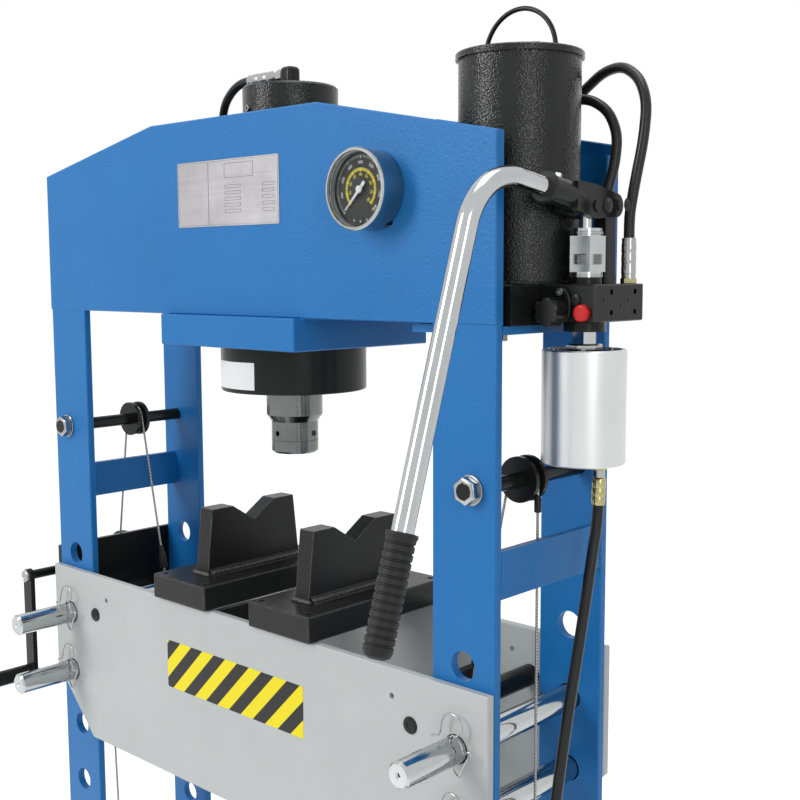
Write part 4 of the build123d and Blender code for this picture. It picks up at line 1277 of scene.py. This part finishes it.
@dataclass
class GaugeTrim:
    """Rim, scales, numbers and screws of the pressure gauge."""

    centre: Point = (0.285, -0.144, 1.683)
    rim_y: float = -0.1513
    zero: float = 225.0
    sweep: float = 270.0
    divisions: int = 80
    rim: Profile = ((0.0455, 0.0), (0.0500, 0.0), (0.0500, 0.0035), (0.0490, 0.0052),
                    (0.0472, 0.0056), (0.0460, 0.0048), (0.0455, 0.003))
    ring: Profile = ((0.0456, 0.0), (0.0456, 0.006))
    cap: Profile = ((0.0046, 0.0), (0.0046, 0.0012), (0.0034, 0.0022), (0.0012, 0.0026))
    screws: tuple[tuple[float, float], ...] = ((-0.011, 0.0370), (0.0, 0.0386), (0.011, 0.0370))

    def _spot(self, share: float, radius: float, lift: float, spin: float = 0.0) -> Matrix:
        """Give a print's place on the dial.

        Args:
            share: Its share of the scale's sweep.
            radius: Its distance from the middle.
            lift: Its height over the dial.
            spin: Its turn against the radius, in degrees.

        Returns:
            The place, facing the front.
        """
        x, y, z = self.centre
        turn = radians(self.zero - self.sweep * share)
        place = (x + radius * cos(turn), y - lift, z + radius * sin(turn))
        return (Matrix.Translation(place) @ TO_FRONT
                @ Matrix.Rotation(turn + radians(spin), 4, "Z"))

    def _scale(
        self, name: str, inner: float, outer: float, long_inner: float, width: float
    ) -> Piece:
        """Print a ring of ticks.

        Args:
            name: Name of the ring.
            inner: Radius of the ticks' inner ends.
            outer: Radius of their outer ends.
            long_inner: Inner radius of every tenth tick.
            width: Width of a tick.

        Returns:
            The joined ticks.
        """
        ticks = []
        for step in range(self.divisions + 1):
            long = step % 10 == 0
            start, wide = (long_inner, width * 1.6) if long else (inner, width)
            lay_down_tools()
            bpy.ops.mesh.primitive_plane_add(size=1.0)
            tick = bpy.context.object
            tick.matrix_world = (
                self._spot(step / self.divisions, (start + outer) / 2, 0.00015)
                @ Matrix.Diagonal((outer - start, wide, 1, 1))
            )
            ticks.append(tick)
        ring = gather(name, ticks)
        set_in_mesh(ring)
        return ring

    def _numbers(self, name: str, values: Sequence[int], radius: float, height: float) -> Piece:
        """Print the scale's plain numbers.

        Args:
            name: Name of the numbers.
            values: The numbers in order along the sweep.
            radius: Radius of their centres.
            height: Their letter height.

        Returns:
            The joined numbers.
        """
        pieces = []
        for index, value in enumerate(values):
            lay_down_tools()
            bpy.ops.object.text_add()
            text = bpy.context.object.data
            text.body = str(value)
            text.size = height
            text.align_x = text.align_y = "CENTER"
            text.resolution_u = 2
            bpy.ops.object.convert(target="MESH")
            piece = bpy.context.object
            piece.matrix_world = self._spot(index / (len(values) - 1), radius, 0.0002, -90)
            pieces.append(piece)
        numbers = gather(name, pieces)
        set_in_mesh(numbers)
        return numbers

    def build(self) -> None:
        """Fit the rim and print the dial."""
        x, y, z = self.centre
        rim = turned("gauge_rim", self.rim, (x, self.rim_y, z), Facing.FRONT, 96)
        self._open(rim)
        reshape(rim, "SOLIDIFY", thickness=0.0003)
        dress(rim, "bright_chrome")
        ring = turned("gauge_ring", self.ring, (x, y, z), Facing.FRONT, 96)
        self._open(ring)
        dress(ring, "dial_grey")
        for prints, finish in (
            (self._scale("outer_scale", 0.0385, 0.0415, 0.0370, 0.00045), "dial_white"),
            (self._scale("inner_scale", 0.0225, 0.0262, 0.0215, 0.0008), "dial_yellow"),
            (self._numbers("outer_numbers", range(0, 900, 100), 0.0325, 0.0056), "dial_white"),
            (self._numbers("inner_numbers", range(0, 90, 10), 0.0180, 0.0052), "dial_yellow"),
        ):
            dress(prints, finish)
        screws = [socket_screw("dial_screw", 0.0032, 0.0008, (x + dx, y, z - dz), Facing.FRONT)
                  for dx, dz in self.screws]
        dress(gather("dial_screws", screws), "zinc_plate")
        cap = turned("needle_cap", self.cap, (x, y - 0.0031, z), Facing.FRONT, 24)
        dress(cap, "dial_white", Body.NEEDLE)

    def _open(self, piece: Piece) -> None:
        """Delete a ring's flat end faces, so that it is open."""
        x, _, z = self.centre
        pick_up(piece)
        bpy.ops.object.mode_set(mode="EDIT")
        mesh = bmesh.from_edit_mesh(piece.data)
        for face in mesh.faces:
            middle = face.calc_center_median()
            near = hypot(middle.x - x, middle.z - z) < 0.002
            face.select_set(near and len(face.verts) > 8)
        bmesh.update_edit_mesh(piece.data)
        bpy.ops.mesh.delete(type="FACE")
        bpy.ops.object.mode_set(mode="OBJECT")


@dataclass
class PumpTrim:
    """Threads, nuts, screws and small fittings of the pump and its motor."""

    x: float = 0.515
    block_front_y: float = -0.040
    block_right_x: float = 0.555
    thread_turns: int = 7
    thread_pitch: float = 0.0018
    groove: Profile = ((0.0195, 0.0), (0.0202, 0.0005), (0.0202, 0.0035), (0.0195, 0.004))
    boss: Profile = ((0.0196, 0.0), (0.0204, 0.0004), (0.0204, 0.0030), (0.0196, 0.0034))
    strap: tuple[Point, ...] = (
        (0.503, -0.0425, 1.5625), (0.512, -0.0425, 1.5640), (0.5195, -0.0425, 1.5580),
        (0.5225, -0.0425, 1.5460), (0.5215, -0.0425, 1.5330), (0.517, -0.0425, 1.5265),
    )
    grubs: tuple[tuple[float, float], ...] = ((-0.020, 1.549), (0.0166, 1.543), (0.0324, 1.5485))
    lid: Profile = ((0.0453, 0.0), (0.0453, 0.0006), (0.040, 0.0008), (0.030, 0.0008))
    lid_screw_r: float = 0.0367
    lip: Profile = ((0.0503, 0.0), (0.0506, 0.0004), (0.0506, 0.0012), (0.0503, 0.0016))
    pins: tuple[tuple[float, float], ...] = ((0.0, 1.659), (0.042, 1.661))
    clip: Profile = ((0.0084, 0.0), (0.0084, 0.0010), (0.0066, 0.0014), (0.0058, 0.0028),
                     (0.0030, 0.0032))
    mouth: Profile = ((0.0155, 0.0), (0.0180, 0.0012), (0.0184, 0.0045), (0.0172, 0.0072),
                      (0.0125, 0.0085))

    def build(self) -> None:
        """Fit the pump's small pieces."""
        x, front = self.x, self.block_front_y
        ridges = [(0.0212, 0.0)]
        for step in range(self.thread_turns):
            rise = self.thread_pitch * step
            ridges += [(0.0228, 0.0009 + rise), (0.0216, self.thread_pitch + rise)]
        thread = turned("gland_thread", ridges, (x, 0, 1.5905), Facing.UP)
        dress(thread, "zinc_plate")
        rings = [turned("gland_groove", self.groove, (x, 0, 1.6255), Facing.UP),
                 turned("boss_ring", self.boss, (x, 0, 1.5765), Facing.UP)]
        dress(gather("gland_rings", rings), "zinc_plate")
        bolt = socket_screw("block_bolt", 0.0095, 0.006, (0.5094, front, 1.5590), Facing.FRONT)
        dress(bolt, "zinc_plate")
        strap = thicken(line_through("knob_strap", self.strap), 0.0042)
        dress(strap, "satin_black")
        plug = socket_screw("block_plug", 0.0125, 0.0026, (0.5295, front, 1.5503), Facing.FRONT)
        dress(plug, "satin_black")
        grubs = [socket_screw("side_grub", 0.0048, 0.0006, (self.block_right_x, y, z),
                              Facing.RIGHT) for y, z in self.grubs]
        dress(gather("side_grubs", grubs), "satin_black")
        under = [hex_head("shelf_bolt", 0.013, 0.008, (bolt_x, bolt_y, 1.510), Facing.DOWN)
                 for bolt_x in (0.360, 0.455) for bolt_y in (-0.084, 0.084)]
        dress(gather("shelf_bolts", under), "zinc_plate")
        self._motor()
        self._lever()

    def _motor(self) -> None:
        """Fit the motor's lids, screws and neck nut."""
        x = self.x
        lids = [turned("motor_lid", self.lid, (x, 0, z), facing, 64)
                for z, facing in ((1.4880, Facing.UP), (1.3570, Facing.DOWN))]
        dress(gather("motor_lids", lids), "satin_black")
        screws = []
        for turn in (211, 61, 151, 301):
            way = radians(turn)
            spot = (x + self.lid_screw_r * cos(way), self.lid_screw_r * sin(way))
            for height, z, facing in ((0.0032, 1.4886, Facing.UP), (0.0026, 1.3564, Facing.DOWN)):
                screws.append(socket_screw("rim_screw", 0.0075, height, (*spot, z), facing))
        dress(gather("rim_screws", screws), "zinc_plate")
        nut = hex_head("neck_nut", 0.038, 0.009, (x, 0, 1.4886), Facing.UP, spin=10)
        dress(nut, "zinc_plate")
        lip = turned("motor_lip", self.lip, (x, 0, 1.4865), Facing.UP, 96)
        dress(lip, "satin_aluminium")

    def _lever(self) -> None:
        """Fit the lever's circlips, its screw and the ring at its mouth."""
        x = self.x
        clips = [turned("circlip", self.clip, (x + side * 0.0303, y, z), facing, 32)
                 for y, z in self.pins for side, facing in ((1, Facing.RIGHT), (-1, Facing.LEFT))]
        dress(gather("circlips", clips), "satin_black", Body.LEVER)
        screw = hex_head("socket_bolt", 0.0105, 0.0055, (x, -0.0605, 1.6885), (0, 0.151, 0.988),
                         spin=20)
        dress(screw, "zinc_plate", Body.LEVER)
        mouth = turned("mouth_ring", self.mouth, (x, -0.0793, 1.6768), (0, -0.98849, 0.15126), 40)
        dress(mouth, "grip_rubber", Body.LEVER)


@dataclass
class HandleTrim:
    """Ribbed rubber grip on the pump handle."""

    start: Point = (0.515, -0.3211, 1.3225)
    way: Point = (0.0, -0.30902, -0.95106)
    length: float = 0.128
    radius: float = 0.016
    rib_pitch: float = 0.0085

    def build(self) -> None:
        """Turn the grip in place of its plain solid."""
        radius, length = self.radius, self.length
        profile = [(0.0125, 0.0), (radius * 1.06, 0.0008), (radius * 1.08, 0.004),
                   (radius, 0.0065)]
        place = 0.010
        while place < length - 0.014:
            profile += [(radius * 0.99, place), (radius * 0.9, place + 0.001),
                        (radius * 0.9, place + 0.0022), (radius * 0.99, place + 0.0032)]
            place += self.rib_pitch
        profile += [(radius * 0.98, length - 0.008), (radius * 0.86, length - 0.003),
                    (radius * 0.55, length)]
        grip = turned("grip_sleeve", profile, self.start, self.way)
        dress(grip, "grip_rubber", Body.LEVER)
        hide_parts("handle_grip")


@dataclass
class TankTrim:
    """Lid screws, filler plug, loop nuts and the weld round the tank's foot."""

    x: float = 0.416
    lid_z: float = 1.844
    lid_screw_r: float = 0.0628
    loop_half: float = 0.053
    foot_z: float = 1.569
    radius: float = 0.075
    ripples: int = 120

    def build(self) -> None:
        """Fit the tank's small pieces."""
        screws = []
        for turn in (204, 324, 84):
            way = radians(turn)
            place = (self.x + self.lid_screw_r * cos(way), self.lid_screw_r * sin(way), self.lid_z)
            screws.append(hex_head("lid_screw", 0.010, 0.005, place, Facing.UP, spin=turn))
        screws.append(socket_screw("filler_plug", 0.017, 0.006,
                                   (self.x + 0.002, -0.032, self.lid_z), Facing.UP))
        dress(gather("lid_screws", screws), "zinc_plate")
        nuts = [hex_head("loop_nut", 0.011, 0.006, (self.x + offset, 0, self.lid_z), Facing.UP)
                for offset in (self.loop_half, -self.loop_half)]
        dress(gather("loop_nuts", nuts), "satin_black")
        chance = Random(5)
        points, swell = [], []
        for step in range(self.ripples):
            way = 2 * pi * step / self.ripples
            points.append((self.x + self.radius * cos(way), self.radius * sin(way), self.foot_z))
            swell.append((0.85 if step % 2 else 1.1) * chance.uniform(0.9, 1.1))
        foot = thicken(line_through("tank_foot_bead", points, swell, closed=True), 0.005)
        dress(foot, "satin_black")


@dataclass
class ElbowTrim:
    """Rounded elbow on the cylinder, with its nut and the hoses' crimped ends."""

    size: Point = (0.024, 0.0225, 0.030)
    place: Point = (0.0, 0.0, 1.8648)
    top_z: float = 1.869
    hose_feet: tuple[tuple[float, float, float], ...] = ((0.543, 0.050, 0.0480),
                                                         (0.495, 0.058, 0.0320))

    def build(self) -> None:
        """Make the elbow and the crimped ends."""
        elbow = cut_bar("elbow_block", self.size, self.place, 0.0065, segments=4)
        dress(elbow, "satin_black")
        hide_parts("top_elbow")
        nut = hex_head("elbow_nut", 0.0175, 0.012, (-0.0118, 0, self.top_z), Facing.LEFT)
        dress(nut, "zinc_plate")
        nuts = [hex_head("hose_nut", 0.0170, 0.007, (x, y, 1.5676), Facing.UP)
                for x, y, _ in self.hose_feet]
        dress(gather("hose_nuts", nuts), "yellow_zinc")
        sleeves = [self._crimp((-0.0235, 0, self.top_z), Facing.LEFT, 0.066)]
        sleeves += [self._crimp((x, y, 1.5742), Facing.UP, length)
                    for x, y, length in self.hose_feet]
        dress(gather("hose_crimps", sleeves), "zinc_plate")

    def _crimp(self, place: Point, facing: Facing, length: float) -> Piece:
        """Turn a crimped sleeve with its pressed grooves.

        Args:
            place: Centre of its near end.
            facing: Direction along the hose.
            length: Its length.

        Returns:
            The sleeve.
        """
        profile = [(0.0068, 0.0), (0.0076, 0.0006), (0.0076, 0.004), (0.0088, 0.0052)]
        step = (length - 0.010) / 3
        for start in (0.006, 0.006 + step, 0.006 + step * 2):
            profile += [(0.00885, start), (0.00885, start + step * 0.7),
                        (0.0083, start + step * 0.78), (0.0083, start + step * 0.9)]
        profile += [(0.0086, length - 0.002), (0.0080, length), (0.0066, length)]
        return turned("hose_crimp", profile, place, facing, 32)


@dataclass
class BedTrim:
    """Hazard band, bar caps and pin clips of the bed."""

    face_y: float = -0.131
    band: tuple[float, float, float] = (0.308, 0.074, 0.984)
    bar_x: float = 0.352
    bar_z: float = 1.020
    cap: Profile = ((0.0112, 0.0), (0.0112, 0.0012), (0.0098, 0.0028), (0.0050, 0.0032),
                    (0.0044, 0.0020))
    pin_x: float = 0.426
    pin_levels: tuple[tuple[str, float], ...] = (("upper", 1.010), ("lower", 0.910))
    clip_wire: float = 0.0026
    # Bends of a clip in millimetres from the pin's axis
    clip_bends: tuple[Point, ...] = (
        (-30, -1.0, 12), (-26, -2.5, 16), (-19, -3.0, 15), (-14, -2.0, 22), (-15, 0.0, 34),
        (-10, 1.0, 44), (2, 1.0, 48), (14, 0.5, 43), (19, -0.5, 31), (11, -1.5, 21),
        (1, -1.0, 22), (0, 0.0, 8), (0, 0.0, -10), (3, 0.0, -21), (14, -1.5, -29),
        (18, -2.5, -22), (27, -3.0, -2), (36, -3.5, 7), (31, -4.0, 10), (22, -4.0, 3),
        (21, -3.5, 13), (15, -3.5, 19),
    )

    def build(self) -> None:
        """Fit the bed's small pieces."""
        width, height, z = self.band
        band = card("hazard_band", width, height, (0.0, self.face_y, z), 0.0004, 0.002)
        dress(band, "hazard_stripes")
        caps = [turned("bar_cap", self.cap, (x, y, self.bar_z), facing, 20)
                for x in (-self.bar_x, self.bar_x)
                for y, facing in ((self.face_y, Facing.FRONT), (-self.face_y, Facing.REAR))]
        dress(gather("bar_caps", caps), "satin_black")
        for side, x in (("left", -self.pin_x), ("right", self.pin_x)):
            for level, z in self.pin_levels:
                points = [(x + dx / 1000, self.face_y - 0.010 + dy / 1000, z + dz / 1000)
                          for dx, dy, dz in self.clip_bends]
                clip = thicken(line_through(f"clip_{level}_{side}", points), self.clip_wire)
                dress(clip, "zinc_plate", Body(f"pin_{level}_{side}"))


@dataclass
class VeeTrim:
    """Rough weld beads at the feet of the V plates."""

    x: float = 0.1125
    plate_t: float = 0.028
    foot_z: float = 1.123
    foot_half: float = 0.093

    def build(self) -> None:
        """Lay the beads on both blocks."""
        beads = []
        long_y, long_z = self.foot_half - 0.004, self.foot_z + 0.0036
        end_x, end_z = self.plate_t / 2 + 0.005, self.foot_z + 0.002
        for seed, middle in enumerate((-self.x, self.x)):
            for face in (-1, 1):
                x = middle + face * (self.plate_t / 2 + 0.0036)
                beads.append(weld_bead((x, -long_y, long_z), (x, long_y, long_z), 0.0095,
                                       3 * seed + face + 4, 0.32))
            for end in (-1, 1):
                y = end * (self.foot_half + 0.0015)
                beads.append(weld_bead((middle - end_x, y, end_z),
                                       (middle + end_x, y, end_z), 0.0085, seed + end + 11,
                                       0.35))
        dress(gather("vee_beads", beads), "weld_black")


@dataclass
class LiftTrim:
    """Nuts, washers, rope boots and sleeves of the bed lift, and the winch's rope."""

    axle_x: float = 0.438
    face_y: float = 0.118
    levels: tuple[float, float] = (0.150, 1.327)
    washer: Profile = ((0.0182, 0.0), (0.0185, 0.0004), (0.0185, 0.0022), (0.0180, 0.0026),
                       (0.0120, 0.0026))
    boot: Profile = ((0.0062, 0.0), (0.0068, 0.003), (0.0062, 0.020), (0.0036, 0.036),
                     (0.0024, 0.039))
    sleeve: Profile = ((0.0030, 0.0), (0.0044, 0.001), (0.0046, 0.018), (0.0032, 0.021))
    drum_x: float = -0.525
    drum_z: float = 1.060
    coil_r: float = 0.0238
    coil_length: float = 0.057
    coil_turns: int = 9
    coil_wire: float = 0.0035

    def build(self) -> None:
        """Fit the lift's small pieces."""
        spots = [(x, sign, z, facing) for x in (-self.axle_x, self.axle_x) for z in self.levels
                 for sign, facing in ((-1, Facing.FRONT), (1, Facing.REAR))]
        washers = [turned("washer", self.washer, (x, sign * self.face_y, z), facing)
                   for x, sign, z, facing in spots]
        nuts = [hex_head("axle_nut", 0.030, 0.0125, (x, sign * (self.face_y + 0.0024), z),
                         facing, spin=8) for x, sign, z, facing in spots]
        dress(gather("axle_washers", washers), "zinc_plate")
        dress(gather("axle_nuts", nuts), "zinc_plate")
        sleeves = []
        for sign, y in ((1, -0.015), (-1, 0.015)):
            low, high = Vector((sign * 0.3625, y, 1.070)), Vector((sign * 0.3700, y, 1.108))
            sleeves.append(turned("rope_boot", self.boot, low, high - low, 24))
        sleeves.append(turned("rope_sleeve", self.sleeve, (0.45985, -0.015, 1.287), Facing.UP, 24))
        dress(gather("rope_sleeves", sleeves), "grip_rubber")
        self._winch()

    def _winch(self) -> None:
        """Wind the rope on the winch drum and bolt the bracket on."""
        x, z = self.drum_x, self.drum_z
        points = winding((x, -self.coil_length / 2, z), self.coil_r, "Y", self.coil_length,
                         self.coil_turns)
        coil = thicken(line_through("winch_coil", points), self.coil_wire, 1)
        dress(coil, "rope_strands")
        bolts = [hex_head("bracket_bolt", 0.017, 0.009, (-0.483, y, bolt_z), Facing.LEFT)
                 for y in (-0.100, 0.100) for bolt_z in (1.022, 1.098)]
        bolts.append(hex_head("shaft_nut", 0.019, 0.008, (x, 0.052, z), Facing.REAR))
        bolts.append(hex_head("crank_nut", 0.019, 0.006, (x, -0.1555, z), Facing.FRONT))
        dress(gather("winch_bolts", bolts), "zinc_plate")


@dataclass
class PedalTrim:
    """Tread bars on the foot pedal and the nut of its hinge."""

    pivot: Point = (0.540, -0.418, 0.046)
    tilt: float = 11.0
    bars: int = 9
    bar_size: Point = (0.066, 0.0055, 0.0022)
    first_bar: float = -0.026
    bar_pitch: float = 0.0118
    bar_rise: float = 0.0088
    ear_x: float = 0.045

    def build(self) -> None:
        """Fit the tread bars and the nut."""
        turn = Matrix.Rotation(radians(-self.tilt), 3, "X")
        bars = []
        for index in range(self.bars):
            along = self.first_bar - self.bar_pitch * index
            spot = Vector(self.pivot) + turn @ Vector((0, along, self.bar_rise))
            bars.append(cut_bar("tread_bar", self.bar_size, spot, 0.0007, turn))
        dress(gather("tread_bars", bars), "pedal_rubber", Body.TREADLE)
        x, y, z = self.pivot
        nut = hex_head("ear_nuts", 0.013, 0.006, (x - self.ear_x, y, z), Facing.LEFT)
        dress(nut, "zinc_plate")


def main() -> None:
    """Build the scene round the frame."""
    for finish, nodes in NODE_FINISH.items():
        for node in nodes:
            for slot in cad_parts[node].material_slots:
                slot.material = FINISHES[finish]
    log.info("CAD nodes have their finishes")
    for assembly in (Scenery(), HoseTrim(), HeadTrim(), RamTrim(), GaugeTrim(), PumpTrim(),
                     HandleTrim(), TankTrim(), ElbowTrim(), BedTrim(), VeeTrim(), LiftTrim(),
                     PedalTrim()):
        assembly.build()
        log.info("%s is built", type(assembly).__name__)
    bpy.context.scene.view_settings.view_transform = "Standard"


if __name__ == "__main__":
    main()
